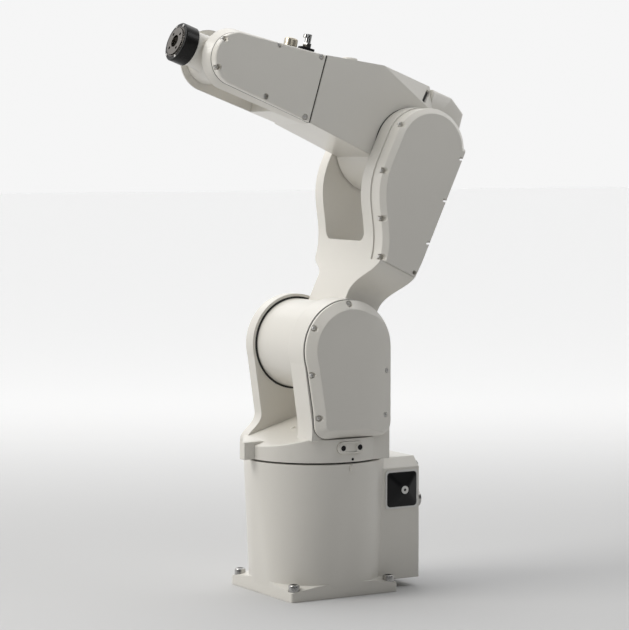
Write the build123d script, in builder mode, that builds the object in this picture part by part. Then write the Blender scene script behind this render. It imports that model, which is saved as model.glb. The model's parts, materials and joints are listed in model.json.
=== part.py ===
from build123d import *
from math import cos, radians, sin
import os

# Six-axis industrial robot arm, in millimetres, in the pose of the photograph.
# +X is the way the arm faces, +Y its left side, +Z up; axis 1 is the Z axis.

# Kinematics
AXIS2_HEIGHT = 399.1
LOWER_ARM_LENGTH = 350.0
AXIS4_OFFSET = 42.0
AXIS3_TO_AXIS5 = 351.0
AXIS5_TO_FLANGE = 82.0
LOWER_ARM_LEAN = 25.2
FOREARM_PITCH = 16.8
HAND_PITCH = 20.0

# Clearances
RUNNING_GAP = 0.3
SEAM_GAP = 0.2

# Foot and tower
FOOT_SIDE = 198.0
FOOT_CORNER_THICKNESS = 14.4
FOOT_CROWN_HEIGHT = 24.0
FOOT_CROWN_RADIUS = 101.0
FOOT_CORNER_ROUND = 3.0
BOLT_SPACING = 177.0
BOLT_HOLE = 13.5
SPOTFACE_DIAMETER = 19.0
SPOTFACE_FLOOR = 12.5
TOWER_FOOT_CORNER = 80.0
TOWER_TOP_FLAT = 0.2
TOWER_TOP = 217.2
SWIVEL_RADIUS = 115.5
SWIVEL_OVERHANG = 1.0
TOWER_TOP_RADIUS = SWIVEL_RADIUS - SWIVEL_OVERHANG

# Connector box behind the tower
BOX_REACH = 45.5
BOX_REAR = TOWER_TOP_RADIUS + BOX_REACH
BOX_HALF_WIDTH = 69.0
BOX_TOP = 213.5
BOX_TOP_CHAMFER = 16.0
BOX_ROUND = 5.0
PANEL_THICKNESS = 3.0
PANEL_MARGIN = 8.0
CONNECTOR_HEIGHT = 138.0
CONNECTOR_LENGTH = 20.0
CONNECTOR_SPACING = 56.0
CONNECTOR_LIP = 3.0
POWER_CONNECTOR_RADIUS = 19.0
SIGNAL_CONNECTOR_RADIUS = 14.0
AIR_PORT_RADIUS = 6.5
AIR_PORT_LENGTH = 9.0
AIR_PORT_SPACING = 23.5
AIR_PORT_HEIGHT = 73.0
BUTTON_FROM_REAR = 34.0
BUTTON_DROP = 51.5
BUTTON_CENTRE = (BUTTON_FROM_REAR - BOX_REAR, BOX_TOP - BUTTON_DROP)
BUTTON_SIDE = 57.0
BUTTON_HEIGHT = 9.0
BUTTON_CORNER = 6.0
BUTTON_TOP_SIDE = 17.0
BUTTON_FRAME_SIDE = 63.0
BUTTON_FRAME_THICKNESS = 1.6
BUTTON_RING_RADIUS = 6.5
BUTTON_RING_THICKNESS = 1.0
BUTTON_HOLE_RADIUS = 2.4

# Swivel
AXIS1_SEAL_INSET = 8.5
AXIS1_SEAL_RADIUS = SWIVEL_RADIUS - AXIS1_SEAL_INSET
SWIVEL_LIFT = 3.0
SWIVEL_BOTTOM = TOWER_TOP + SWIVEL_LIFT
SWIVEL_CREST_ROUND = 2.0
CREST_PICK_MARGIN = 1.0
DECK_RISE = 56.8
DECK_HEIGHT_AT_AXIS = SWIVEL_BOTTOM + DECK_RISE
DECK_SLOPE = 16.7
DECK_BACK_RISE = 11.0
DECK_BACK_HEIGHT = DECK_HEIGHT_AT_AXIS + DECK_BACK_RISE
TONGUE_LENGTH = 17.5
TONGUE_REACH = SWIVEL_RADIUS + TONGUE_LENGTH
TONGUE_WIDTH = 16.0
TONGUE_RISE = 27.8
TONGUE_TOP = SWIVEL_BOTTOM + TONGUE_RISE
EAR_RADIUS = 80.5
EAR_GAP_HALF = 58.0
EAR_NEAR_SETBACK = 11.5
EAR_NEAR_OUTER = SWIVEL_RADIUS - EAR_NEAR_SETBACK
EAR_FAR_OUTER = 86.0
EAR_FRONT_FOOT = 62.0
EAR_FLARE_BASE = 22.8
EAR_FLARE_HEIGHT = SWIVEL_BOTTOM + EAR_FLARE_BASE
EAR_NEAR_FLARE = 66.0
EAR_FRONT_DRAFT = 3.0
EAR_FLARE_RISE = 45.0
EAR_TANGENT_ANGLE = 15.0
EAR_FAR_FLARE = 92.0
EAR_ROUND = 6.0
PORT_PLATE_RISE = 23.3
PORT_PLATE_HEIGHT = SWIVEL_BOTTOM + PORT_PLATE_RISE
PORT_PLATE_LENGTH = 48.0
PORT_PLATE_WIDTH = 19.5
SHOULDER_COVER_DEPTH = 18.0
SHOULDER_COVER_LIFT = 5.75
SHOULDER_COVER_BOTTOM = PORT_PLATE_HEIGHT + PORT_PLATE_WIDTH / 2 + SHOULDER_COVER_LIFT
EAR_TRIM_DROP = 3.0
EAR_TRIM_TOP = SHOULDER_COVER_BOTTOM - EAR_TRIM_DROP
SHOULDER_COVER_CORNER = 22.0
SHOULDER_COVER_INSET = 1.5
SHOULDER_BEVEL_WIDTH = 14.0
SHOULDER_BEVEL_DEPTH = 12.0
SHOULDER_BACK_INSET = 12.0
SHOULDER_BACK_DEPTH = 6.0
PORT_PLATE_CENTRE = 0.0
PORT_PLATE_ROUND = 1.5
PORT_PLUG_HEIGHT = 1.0
PORT_PLATE_PROUD = 2.5
PORT_PLATE_FACE = SWIVEL_RADIUS + PORT_PLATE_PROUD
PORT_PLATE_SINK = 3.5
PORT_PLATE_SEAT = SWIVEL_RADIUS - PORT_PLATE_SINK
PORT_SPACING = 30.8
PORT_RADIUS = 4.6

# Lower arm
SHOULDER_BARREL_RADIUS = 72.8
SEAL_WIDTH = 0.5
SEAL_INSET = 2.5
ARM_BACK = 63.0
ARM_WAIST_BACK = 55.0
ARM_WAIST_FRONT = 10.0
FORK_GAP_HALF = 59.5
FORK_NEAR_SEAM = 88.0
FORK_NEAR_OUTER = 120.5
FORK_FAR_OUTER = 88.0
FORK_RADIUS = 69.0
FORK_LEAD = -1.0
FORK_ROUND = 5.0
FORK_STRAIGHT = 50.0
FORK_WAIST_TOP = 130.0
FORK_PULL = 80.0
CROTCH = 179.0
CROTCH_ROUND = 14.0
NEAR_SHOULDER = 152.0
NEAR_SHOULDER_DRAFT = 3.0
NEAR_SHOULDER_DROP = 22.0
NEAR_SHOULDER_PULL = 12.0
NEAR_BEND_LOW = 92.0
NEAR_BEND_RISE = 28.0
FAR_SHOULDER = 152.0
FAR_BEND_LOW = 116.0
FAR_BEND_MIDDLE = (FAR_BEND_LOW + FAR_SHOULDER) / 2
ELBOW_COVER_INSET = 2.0
ELBOW_COVER_BEVEL = 8.0
ELBOW_COVER_BEVEL_WIDTH = 8.5
ELBOW_BACK_DEPTH = 4.0
ELBOW_BACK_INSET = 9.0

# Upper arm housing, in its own frame: distance ahead of axis 3 and height above it
ELBOW_BARREL_RADIUS = 71.0
HOUSING_HALF_WIDTH = 57.0
HOUSING_FRONT = 193.5
HOUSING_FRONT_BOTTOM = -14.0
HOUSING_FRONT_TOP = 98.5
HOUSING_HUMP_START = 87.0
HOUSING_HUMP_TOP = 115.5
HOUSING_SPLIT = 24.0
HOUSING_BELLY = (64.0, -31.0)
HOUSING_BEVEL_TOP_HALF = 35.0
HOUSING_BEVEL_LOW = (3.0, 82.0)
REAR_COVER_HALF_WIDTH = 46.0
REAR_COVER_REAR = 92.0
REAR_COVER_TOP = 110.0
REAR_COVER_BOTTOM = 22.0
REAR_COVER_HEEL = 14.0
REAR_COVER_ROUND = 7.0

# Forearm, in the same frame
FOREARM_BACK = 196.5
FOREARM_TOP_AT_BACK = 99.5
FOREARM_BOTTOM_AT_BACK = -16.0
CHEEK_CENTRE = (350.0, 41.5)
CHEEK_RADIUS = 49.0
CHEEK_ROUNDING = 7.0
CHEEK_BACK_ROUNDING = 2.0
FOREARM_NEAR_FLANK = 34.5
FOREARM_NEAR_SEAM = 52.0
FOREARM_FAR_FLANK = 38.0
FOREARM_FAR_SEAM = 44.0
FOREARM_COVER_OUTER = 69.0
FOREARM_COVER_OUTER_AT_BACK = 60.0
FOREARM_COVER_BEVEL = 2.0
FOREARM_FAR_OUTER = 48.5
SLOT_HALF_WIDTH = 34.5
SLOT_END = 254.0
AXIS4_SEAL_RADIUS = 48.0
TOP_CAP_PLACE = (249.0, 30.0)
TOP_CAP_RADIUS = 11.0
TOP_CAP_HEIGHT = 13.0
FITTING_PLACE = (219.0, 30.0)
FITTING_BASE = (26.0, 16.0, 5.0)
FITTING_RADIUS = 5.0
FITTING_HEIGHT = 22.0
FITTING_COLLAR_RADIUS = 7.5

# Wrist and tool flange
WRIST_BARREL_RADIUS = 38.0
NECK_RADIUS = 27.0
NECK_ROOT_RADIUS = 31.0
RING_REAR = 56.3
RING_RADIUS = 31.5
RING_FRONT = 79.5
RING_CHAMFER = 1.5
DISC_RADIUS = 22.2
DISC_REAR = 68.0
FLANGE_BORE = 20.0
FLANGE_BORE_DEPTH = 6.0
FLANGE_PCD = 31.5
FLANGE_THREAD = 5.0
FLANGE_HOLE_DEPTH = 8.0

os.makedirs("parts", exist_ok=True)


def turned(angle):
    """The X and Z parts of a level unit vector turned up by an angle in degrees."""
    return cos(radians(angle)), sin(radians(angle))


def side_plane(y, centre=(0.0, 0.0), turn=0.0):
    """A plane at one Y, whose axes run forward and up, turned about a centre in XZ."""
    ahead, up = turned(turn)
    return Plane(origin=(centre[0], y, centre[1]), x_dir=(ahead, 0, up), z_dir=(0, -1, 0))


def across_plane(distance, centre=(0.0, 0.0), turn=0.0):
    """A plane across a turned direction, whose axes run along +Y and up."""
    ahead, up = turned(turn)
    origin = (centre[0] + distance * ahead, 0, centre[1] + distance * up)
    return Plane(origin=origin, x_dir=(0, 1, 0), z_dir=(ahead, 0, up))


def place(centre, turn, along, above=0.0):
    """The XZ place that lies along and above a centre on a turned direction."""
    ahead, up = turned(turn)
    return (centre[0] + along * ahead - above * up, centre[1] + along * up + above * ahead)


AXIS2 = (0.0, AXIS2_HEIGHT)
AXIS3 = place(AXIS2, LOWER_ARM_LEAN, 0.0, LOWER_ARM_LENGTH)
AXIS5 = place(AXIS3, FOREARM_PITCH, AXIS3_TO_AXIS5, AXIS4_OFFSET)


def in_forearm(along, y, above):
    """A point given ahead of axis 3, across the arm and above axis 3."""
    x, z = place(AXIS3, FOREARM_PITCH, along, above)
    return Vector(x, y, z)


def plane_through(first, second, third):
    """The plane through three points, facing by the right-hand rule."""
    return Plane(origin=first, z_dir=(second - first).cross(third - first))


def finish(part, name):
    """Labels a finished piece and writes its file."""
    part.label = name
    export_step(part, "parts/" + name + ".step")


# Base: a square foot with a conical top, a tower lofted to a round seam, and the box behind it
BOLT_GRID = GridLocations(BOLT_SPACING, BOLT_SPACING, 2, 2)
HALF_FOOT = FOOT_SIDE / 2
FOOT_REACH = HALF_FOOT * 2 ** 0.5

with BuildPart() as base_casting:
    with BuildSketch(Plane.XZ):
        with BuildLine():
            Polyline(
                (0, 0),
                (FOOT_REACH, 0),
                (FOOT_REACH, FOOT_CORNER_THICKNESS),
                (FOOT_CROWN_RADIUS, FOOT_CROWN_HEIGHT),
                (0, FOOT_CROWN_HEIGHT),
                close=True,
            )
        make_face()
    revolve(axis=Axis.Z)
    with BuildSketch():
        RectangleRounded(FOOT_SIDE, FOOT_SIDE, FOOT_CORNER_ROUND)
    extrude(amount=FOOT_CROWN_HEIGHT, mode=Mode.INTERSECT)
    with BuildSketch(Plane.XY.offset(FOOT_CORNER_THICKNESS)):
        RectangleRounded(FOOT_SIDE, FOOT_SIDE, TOWER_FOOT_CORNER)
    with BuildSketch(Plane.XY.offset(TOWER_TOP)):
        RectangleRounded(2 * TOWER_TOP_RADIUS, 2 * TOWER_TOP_RADIUS, TOWER_TOP_RADIUS - TOWER_TOP_FLAT)
    loft()
    with BuildSketch(Plane.YZ.offset(-BOX_REAR)):
        with BuildLine():
            Polyline(
                (-BOX_HALF_WIDTH, FOOT_CORNER_THICKNESS),
                (BOX_HALF_WIDTH, FOOT_CORNER_THICKNESS),
                (BOX_HALF_WIDTH, BOX_TOP - BOX_TOP_CHAMFER),
                (BOX_HALF_WIDTH - BOX_TOP_CHAMFER, BOX_TOP),
                (BOX_TOP_CHAMFER - BOX_HALF_WIDTH, BOX_TOP),
                (-BOX_HALF_WIDTH, BOX_TOP - BOX_TOP_CHAMFER),
                close=True,
            )
        make_face()
    extrude(amount=BOX_REAR)
    with BuildSketch(Plane.XY.offset(SPOTFACE_FLOOR)):
        with BOLT_GRID:
            Circle(SPOTFACE_DIAMETER / 2)
    extrude(amount=FOOT_CROWN_HEIGHT, mode=Mode.SUBTRACT)
    with BuildSketch():
        with BOLT_GRID:
            Circle(BOLT_HOLE / 2)
    extrude(amount=FOOT_CROWN_HEIGHT, mode=Mode.SUBTRACT)
finish(base_casting.part, "base_casting")

with BuildPart() as connector_panel:
    with BuildSketch(Plane.YZ.offset(-BOX_REAR)):
        with Locations((0, (FOOT_CORNER_THICKNESS + BOX_TOP) / 2)):
            RectangleRounded(
                2 * (BOX_HALF_WIDTH - PANEL_MARGIN),
                BOX_TOP - FOOT_CORNER_THICKNESS - 2 * PANEL_MARGIN,
                BOX_ROUND,
            )
    extrude(amount=-PANEL_THICKNESS)
finish(connector_panel.part, "connector_panel")

PANEL_FACE = BOX_REAR + PANEL_THICKNESS
CONNECTORS = (
    (-CONNECTOR_SPACING / 2, POWER_CONNECTOR_RADIUS),
    (CONNECTOR_SPACING / 2, SIGNAL_CONNECTOR_RADIUS),
)
with BuildPart() as rear_connectors:
    with BuildSketch(Plane.YZ.offset(-PANEL_FACE)):
        for across, radius in CONNECTORS:
            with Locations((across, CONNECTOR_HEIGHT)):
                Circle(radius)
    extrude(amount=-CONNECTOR_LENGTH)
    with BuildSketch(Plane.YZ.offset(-PANEL_FACE)):
        for across, radius in CONNECTORS:
            with Locations((across, CONNECTOR_HEIGHT)):
                Circle(radius + CONNECTOR_LIP)
    extrude(amount=-CONNECTOR_LENGTH / 4)
finish(rear_connectors.part, "rear_connectors")

with BuildPart() as air_ports:
    with BuildSketch(Plane.YZ.offset(-PANEL_FACE)):
        with Locations((0, AIR_PORT_HEIGHT)):
            with GridLocations(AIR_PORT_SPACING, 1, 4, 1):
                RegularPolygon(AIR_PORT_RADIUS, 6)
    extrude(amount=-AIR_PORT_LENGTH)
finish(air_ports.part, "air_ports")

BUTTON_SEAT = BOX_HALF_WIDTH + BUTTON_FRAME_THICKNESS
with BuildPart() as button_frame:
    with BuildSketch(side_plane(BUTTON_SEAT, BUTTON_CENTRE)):
        RectangleRounded(BUTTON_FRAME_SIDE, BUTTON_FRAME_SIDE, BUTTON_CORNER)
    extrude(amount=BUTTON_FRAME_THICKNESS)
finish(button_frame.part, "button_frame")

BUTTON_TOP = BUTTON_SEAT + BUTTON_HEIGHT
with BuildPart() as brake_button:
    with BuildSketch(side_plane(BUTTON_SEAT, BUTTON_CENTRE)):
        RectangleRounded(BUTTON_SIDE, BUTTON_SIDE, BUTTON_CORNER)
    with BuildSketch(side_plane(BUTTON_TOP, BUTTON_CENTRE)):
        RectangleRounded(BUTTON_TOP_SIDE, BUTTON_TOP_SIDE, BUTTON_CORNER)
    loft()
finish(brake_button.part, "brake_button")

with BuildPart() as button_ring:
    with BuildSketch(side_plane(BUTTON_TOP + BUTTON_RING_THICKNESS, BUTTON_CENTRE)):
        Circle(BUTTON_RING_RADIUS)
        Circle(BUTTON_HOLE_RADIUS, mode=Mode.SUBTRACT)
    extrude(amount=BUTTON_RING_THICKNESS)
finish(button_ring.part, "button_ring")

# Swivel: a drum with a sloping deck and a nose, between two ears that carry axis 2
with BuildPart() as axis_1_seal:
    with BuildSketch(Plane.XY.offset(TOWER_TOP + RUNNING_GAP)):
        Circle(AXIS1_SEAL_RADIUS)
    extrude(amount=SWIVEL_BOTTOM - TOWER_TOP - RUNNING_GAP)
finish(axis_1_seal.part, "axis_1_seal")

EAR_TANGENT = turned(-EAR_TANGENT_ANGLE)
EAR_SHOULDER = (EAR_FRONT_FOOT + EAR_FRONT_DRAFT, EAR_FLARE_HEIGHT + EAR_FLARE_RISE)


def ear_outline(flare):
    """An upright ear about axis 2: round top, straight back, front flared at its foot."""
    with BuildSketch() as outline:
        with BuildLine():
            Line((flare, EAR_FLARE_HEIGHT), (flare, SWIVEL_BOTTOM))
            Line((flare, SWIVEL_BOTTOM), (-EAR_RADIUS, SWIVEL_BOTTOM))
            Line((-EAR_RADIUS, SWIVEL_BOTTOM), (-EAR_RADIUS, AXIS2_HEIGHT))
            ThreePointArc(
                (-EAR_RADIUS, AXIS2_HEIGHT),
                (0, AXIS2_HEIGHT + EAR_RADIUS),
                (EAR_RADIUS * EAR_TANGENT[0], AXIS2_HEIGHT + EAR_RADIUS * EAR_TANGENT[1]),
            )
            Line((EAR_RADIUS * EAR_TANGENT[0], AXIS2_HEIGHT + EAR_RADIUS * EAR_TANGENT[1]), EAR_SHOULDER)
            Bezier(
                EAR_SHOULDER,
                (EAR_FRONT_FOOT, EAR_FLARE_HEIGHT + EAR_FLARE_RISE / 2),
                (flare, EAR_FLARE_HEIGHT + EAR_FLARE_RISE / 3),
                (flare, EAR_FLARE_HEIGHT),
            )
        make_face()
    return outline.sketch


def cover_outline(inset):
    """The shoulder cover's side view, and with no inset the pocket that it fills."""
    radius = EAR_RADIUS - inset
    front = EAR_FRONT_FOOT - inset
    bottom = SHOULDER_COVER_BOTTOM - SHOULDER_COVER_INSET + inset
    with BuildSketch() as outline:
        with BuildLine():
            Polyline(
                (-radius, AXIS2_HEIGHT),
                (-radius, bottom),
                (front, bottom),
                (front + EAR_FRONT_DRAFT, bottom + 2 * SHOULDER_COVER_CORNER),
                (radius, AXIS2_HEIGHT),
                close=True,
            )
        make_face()
        fillet(outline.vertices().group_by(Axis.Y)[0], SHOULDER_COVER_CORNER)
        with Locations((0, AXIS2_HEIGHT)):
            Circle(radius)
    return outline.sketch


with BuildPart() as far_ear:
    with BuildSketch(side_plane(-EAR_GAP_HALF)):
        add(ear_outline(EAR_FAR_FLARE))
    extrude(amount=EAR_FAR_OUTER - EAR_GAP_HALF)
    far_ear_edges = far_ear.faces().sort_by(Axis.Y)[0].edges()
    rim_low = SWIVEL_BOTTOM + EAR_ROUND
    rim_high = AXIS2_HEIGHT + 2 * EAR_RADIUS
    fillet(far_ear_edges.filter_by_position(Axis.Z, rim_low, rim_high), EAR_ROUND)

with BuildPart() as near_ear:
    with BuildSketch(side_plane(EAR_NEAR_OUTER)):
        add(ear_outline(EAR_NEAR_FLARE))
    extrude(amount=EAR_NEAR_OUTER - EAR_GAP_HALF)
    with BuildSketch(Plane.XY.offset(SWIVEL_BOTTOM)):
        Circle(2 * SWIVEL_RADIUS)
        Circle(SWIVEL_RADIUS, mode=Mode.SUBTRACT)
        with Locations((-SWIVEL_RADIUS, 0)):
            Rectangle(2 * SWIVEL_RADIUS, 4 * SWIVEL_RADIUS, mode=Mode.SUBTRACT)
    extrude(amount=EAR_TRIM_TOP - SWIVEL_BOTTOM, mode=Mode.SUBTRACT)

DECK_NORMAL = (sin(radians(DECK_SLOPE)), 0, cos(radians(DECK_SLOPE)))
with BuildPart() as swivel_casting:
    with BuildSketch(Plane.XY.offset(SWIVEL_BOTTOM)):
        Circle(SWIVEL_RADIUS)
    extrude(amount=DECK_BACK_HEIGHT - SWIVEL_BOTTOM)
    split(bisect_by=Plane(origin=(0, 0, DECK_HEIGHT_AT_AXIS), z_dir=DECK_NORMAL), keep=Keep.BOTTOM)
    curved_edges = swivel_casting.edges().filter_by(GeomType.LINE, reverse=True)
    crest_low = SWIVEL_BOTTOM + CREST_PICK_MARGIN
    crest_high = DECK_BACK_HEIGHT + CREST_PICK_MARGIN
    fillet(curved_edges.filter_by_position(Axis.Z, crest_low, crest_high), SWIVEL_CREST_ROUND)
    with BuildSketch(Plane.XY.offset(SWIVEL_BOTTOM)):
        with Locations((TONGUE_REACH / 2, 0)):
            Rectangle(TONGUE_REACH, TONGUE_WIDTH)
    extrude(amount=TONGUE_TOP - SWIVEL_BOTTOM)
    with BuildSketch(side_plane(SWIVEL_RADIUS)):
        add(cover_outline(0))
    extrude(amount=SWIVEL_RADIUS - EAR_NEAR_OUTER, mode=Mode.SUBTRACT)
    with BuildSketch(side_plane(SWIVEL_RADIUS, (PORT_PLATE_CENTRE, PORT_PLATE_HEIGHT))):
        SlotOverall(PORT_PLATE_LENGTH, PORT_PLATE_WIDTH)
    extrude(amount=SWIVEL_RADIUS - PORT_PLATE_SEAT, mode=Mode.SUBTRACT)
    add(near_ear.part)
    add(far_ear.part)
finish(swivel_casting.part, "swivel_casting")

with BuildPart() as port_plate:
    with BuildSketch(side_plane(PORT_PLATE_FACE, (PORT_PLATE_CENTRE, PORT_PLATE_HEIGHT))):
        SlotOverall(PORT_PLATE_LENGTH - 2 * SEAM_GAP, PORT_PLATE_WIDTH - 2 * SEAM_GAP)
    extrude(amount=PORT_PLATE_FACE - PORT_PLATE_SEAT)
    fillet(port_plate.faces().sort_by(Axis.Y)[-1].edges(), PORT_PLATE_ROUND)
finish(port_plate.part, "port_plate")

with BuildPart() as port_plugs:
    with BuildSketch(side_plane(PORT_PLATE_FACE + PORT_PLUG_HEIGHT, (PORT_PLATE_CENTRE, PORT_PLATE_HEIGHT))):
        with GridLocations(PORT_SPACING, 1, 2, 1):
            Circle(PORT_RADIUS)
    extrude(amount=PORT_PLUG_HEIGHT)
finish(port_plugs.part, "port_plugs")

with BuildPart() as shoulder_cover:
    with BuildSketch(side_plane(EAR_NEAR_OUTER + SHOULDER_COVER_DEPTH)):
        add(cover_outline(SHOULDER_COVER_INSET))
    extrude(amount=SHOULDER_COVER_DEPTH - SEAM_GAP)
    shoulder_face = shoulder_cover.faces().sort_by(Axis.Y)[-1]
    chamfer(shoulder_face.edges(), SHOULDER_BEVEL_WIDTH, SHOULDER_BEVEL_DEPTH, reference=shoulder_face)
finish(shoulder_cover.part, "shoulder_cover")

with BuildPart() as shoulder_cap:
    with BuildSketch(side_plane(-EAR_FAR_OUTER - SEAM_GAP, AXIS2)):
        Circle(EAR_RADIUS - SHOULDER_BACK_INSET)
    extrude(amount=SHOULDER_BACK_DEPTH)
    chamfer(shoulder_cap.faces().sort_by(Axis.Y)[0].edges(), SHOULDER_BACK_DEPTH / 2)
finish(shoulder_cap.part, "shoulder_cap")

with BuildPart() as shoulder_seals:
    for seal_face in (EAR_GAP_HALF - RUNNING_GAP, -EAR_GAP_HALF + RUNNING_GAP + SEAL_WIDTH):
        with BuildSketch(side_plane(seal_face, AXIS2)):
            Circle(SHOULDER_BARREL_RADIUS - SEAL_INSET)
        extrude(amount=SEAL_WIDTH)
finish(shoulder_seals.part, "shoulder_seals")

BARREL_HALF = EAR_GAP_HALF - RUNNING_GAP - SEAL_WIDTH
FORK_TOP = LOWER_ARM_LENGTH + 2 * FORK_RADIUS


# Lower arm: a barrel on axis 2 whose neck doglegs out into a fork that holds axis 3
def fork_outline(inset=0.0, bottom=0.0):
    """The fork's side view in the lower arm's frame, forward and along."""
    radius = FORK_RADIUS - inset
    back = ARM_BACK - inset
    rise = (radius ** 2 - (back + FORK_LEAD) ** 2) ** 0.5
    front = radius + FORK_LEAD
    waist = ARM_WAIST_FRONT - inset
    with BuildSketch() as outline:
        with BuildLine():
            Polyline(
                (waist, FORK_WAIST_TOP),
                (waist, 0),
                (-ARM_WAIST_BACK, 0),
                (-ARM_WAIST_BACK, NEAR_BEND_LOW),
                (-back, CROTCH),
                (-back, LOWER_ARM_LENGTH + rise),
            )
            ThreePointArc(
                (-back, LOWER_ARM_LENGTH + rise),
                (FORK_LEAD, LOWER_ARM_LENGTH + radius),
                (front, LOWER_ARM_LENGTH),
            )
            Line((front, LOWER_ARM_LENGTH), (front, LOWER_ARM_LENGTH - FORK_STRAIGHT))
            Bezier(
                (front, LOWER_ARM_LENGTH - FORK_STRAIGHT),
                (front, LOWER_ARM_LENGTH - FORK_STRAIGHT - FORK_PULL),
                (waist, FORK_WAIST_TOP + FORK_PULL),
                (waist, FORK_WAIST_TOP),
            )
        make_face()
        if bottom:
            with Locations((0, bottom / 2)):
                Rectangle(4 * FORK_RADIUS, bottom, mode=Mode.SUBTRACT)
    return outline.sketch


def fork_gap():
    """The gap between the fork's prongs, seen along the arm's front."""
    with BuildSketch() as outline:
        with Locations((0, (CROTCH + FORK_TOP) / 2)):
            Rectangle(2 * FORK_GAP_HALF, FORK_TOP - CROTCH)
        fillet(outline.vertices().group_by(Axis.Y)[0], CROTCH_ROUND)
    return outline.sketch


ahead, up = turned(LOWER_ARM_LEAN)
ARM_FRONT_PLANE = Plane(origin=(0, 0, AXIS2_HEIGHT), x_dir=(0, 1, 0), z_dir=(ahead, 0, up))


def lies_ahead(edge):
    """Whether an edge's middle is ahead of the back of the arm's waist."""
    return ARM_FRONT_PLANE.to_local_coords(edge.center()).Z > -ARM_WAIST_FRONT


def front_rim(face):
    """The edges of a prong's side face that run up its front and over its top."""
    return face.edges().filter_by(lies_ahead)


with BuildPart() as lower_arm_casting:
    with BuildSketch(side_plane(FORK_NEAR_OUTER, AXIS2, LOWER_ARM_LEAN)):
        add(fork_outline())
    extrude(amount=FORK_NEAR_OUTER + FORK_FAR_OUTER)
    with BuildSketch(ARM_FRONT_PLANE):
        with BuildLine():
            near_low = (BARREL_HALF, NEAR_BEND_LOW)
            near_low_pull = (BARREL_HALF, NEAR_BEND_LOW + NEAR_BEND_RISE)
            near_high_pull = (FORK_NEAR_OUTER - NEAR_SHOULDER_PULL, NEAR_SHOULDER - NEAR_SHOULDER_DROP)
            near_high = (FORK_NEAR_OUTER - NEAR_SHOULDER_DRAFT, NEAR_SHOULDER)
            far_low = (-BARREL_HALF, FAR_BEND_LOW)
            far_low_pull = (-BARREL_HALF, FAR_BEND_MIDDLE)
            far_high_pull = (-FORK_FAR_OUTER, FAR_BEND_MIDDLE)
            far_high = (-FORK_FAR_OUTER, FAR_SHOULDER)
            Line((-BARREL_HALF, 0), (BARREL_HALF, 0))
            Line((BARREL_HALF, 0), near_low)
            Bezier(near_low, near_low_pull, near_high_pull, near_high)
            Line(near_high, (FORK_NEAR_SEAM, NEAR_SHOULDER))
            Line((FORK_NEAR_SEAM, NEAR_SHOULDER), (FORK_NEAR_SEAM, FORK_TOP))
            Line((FORK_NEAR_SEAM, FORK_TOP), (-FORK_FAR_OUTER, FORK_TOP))
            Line((-FORK_FAR_OUTER, FORK_TOP), far_high)
            Bezier(far_high, far_high_pull, far_low_pull, far_low)
            Line(far_low, (-BARREL_HALF, 0))
        make_face()
    extrude(amount=FORK_TOP, both=True, mode=Mode.INTERSECT)
    fillet(front_rim(lower_arm_casting.faces().sort_by(Axis.Y)[0]), FORK_ROUND)
    with BuildSketch(ARM_FRONT_PLANE):
        add(fork_gap())
    extrude(amount=FORK_TOP, both=True, mode=Mode.SUBTRACT)
    with BuildSketch(side_plane(BARREL_HALF, AXIS2)):
        Circle(SHOULDER_BARREL_RADIUS)
    extrude(amount=2 * BARREL_HALF)
finish(lower_arm_casting.part, "lower_arm_casting")

with BuildPart() as elbow_cover:
    with BuildSketch(side_plane(FORK_NEAR_OUTER, AXIS2, LOWER_ARM_LEAN)):
        add(fork_outline(ELBOW_COVER_INSET, NEAR_SHOULDER + SEAM_GAP))
    extrude(amount=FORK_NEAR_OUTER - FORK_NEAR_SEAM - SEAM_GAP)
    elbow_face = elbow_cover.faces().sort_by(Axis.Y)[-1]
    chamfer(front_rim(elbow_face), ELBOW_COVER_BEVEL_WIDTH, ELBOW_COVER_BEVEL, reference=elbow_face)
finish(elbow_cover.part, "elbow_cover")

with BuildPart() as elbow_cap:
    with BuildSketch(side_plane(-FORK_FAR_OUTER, AXIS2, LOWER_ARM_LEAN)):
        add(fork_outline(ELBOW_BACK_INSET, CROTCH))
    extrude(amount=ELBOW_BACK_DEPTH)
finish(elbow_cap.part, "elbow_cap")

with BuildPart() as elbow_seals:
    elbow_seal_width = FORK_GAP_HALF - RUNNING_GAP - HOUSING_HALF_WIDTH
    for seal_face in (FORK_GAP_HALF - RUNNING_GAP, -HOUSING_HALF_WIDTH):
        with BuildSketch(side_plane(seal_face, AXIS3)):
            Circle(ELBOW_BARREL_RADIUS - SEAL_INSET)
        extrude(amount=elbow_seal_width)
finish(elbow_seals.part, "elbow_seals")

# Upper arm housing: a barrel on axis 3, a bevelled body and a cover behind
with BuildPart() as upper_arm_housing:
    with BuildSketch(side_plane(HOUSING_HALF_WIDTH, AXIS3, FOREARM_PITCH)):
        with BuildLine():
            Polyline(
                (HOUSING_FRONT, HOUSING_FRONT_BOTTOM),
                (HOUSING_FRONT, HOUSING_FRONT_TOP),
                (HOUSING_HUMP_START, HOUSING_HUMP_TOP),
                (-HOUSING_SPLIT, HOUSING_HUMP_TOP),
                (-HOUSING_SPLIT, 0),
                HOUSING_BELLY,
                close=True,
            )
        make_face()
        Circle(ELBOW_BARREL_RADIUS)
    extrude(amount=2 * HOUSING_HALF_WIDTH)
    for side in (1, -1):
        half = side * HOUSING_HALF_WIDTH
        corner = in_forearm(HOUSING_HUMP_START, half, HOUSING_HUMP_TOP)
        low = in_forearm(HOUSING_BEVEL_LOW[0], half, HOUSING_BEVEL_LOW[1])
        high = in_forearm(0, side * HOUSING_BEVEL_TOP_HALF, HOUSING_HUMP_TOP)
        if side > 0:
            bevel = plane_through(corner, low, high)
        else:
            bevel = plane_through(corner, high, low)
        split(bisect_by=bevel, keep=Keep.BOTTOM if bevel.z_dir.Z > 0 else Keep.TOP)
finish(upper_arm_housing.part, "upper_arm_housing")

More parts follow.
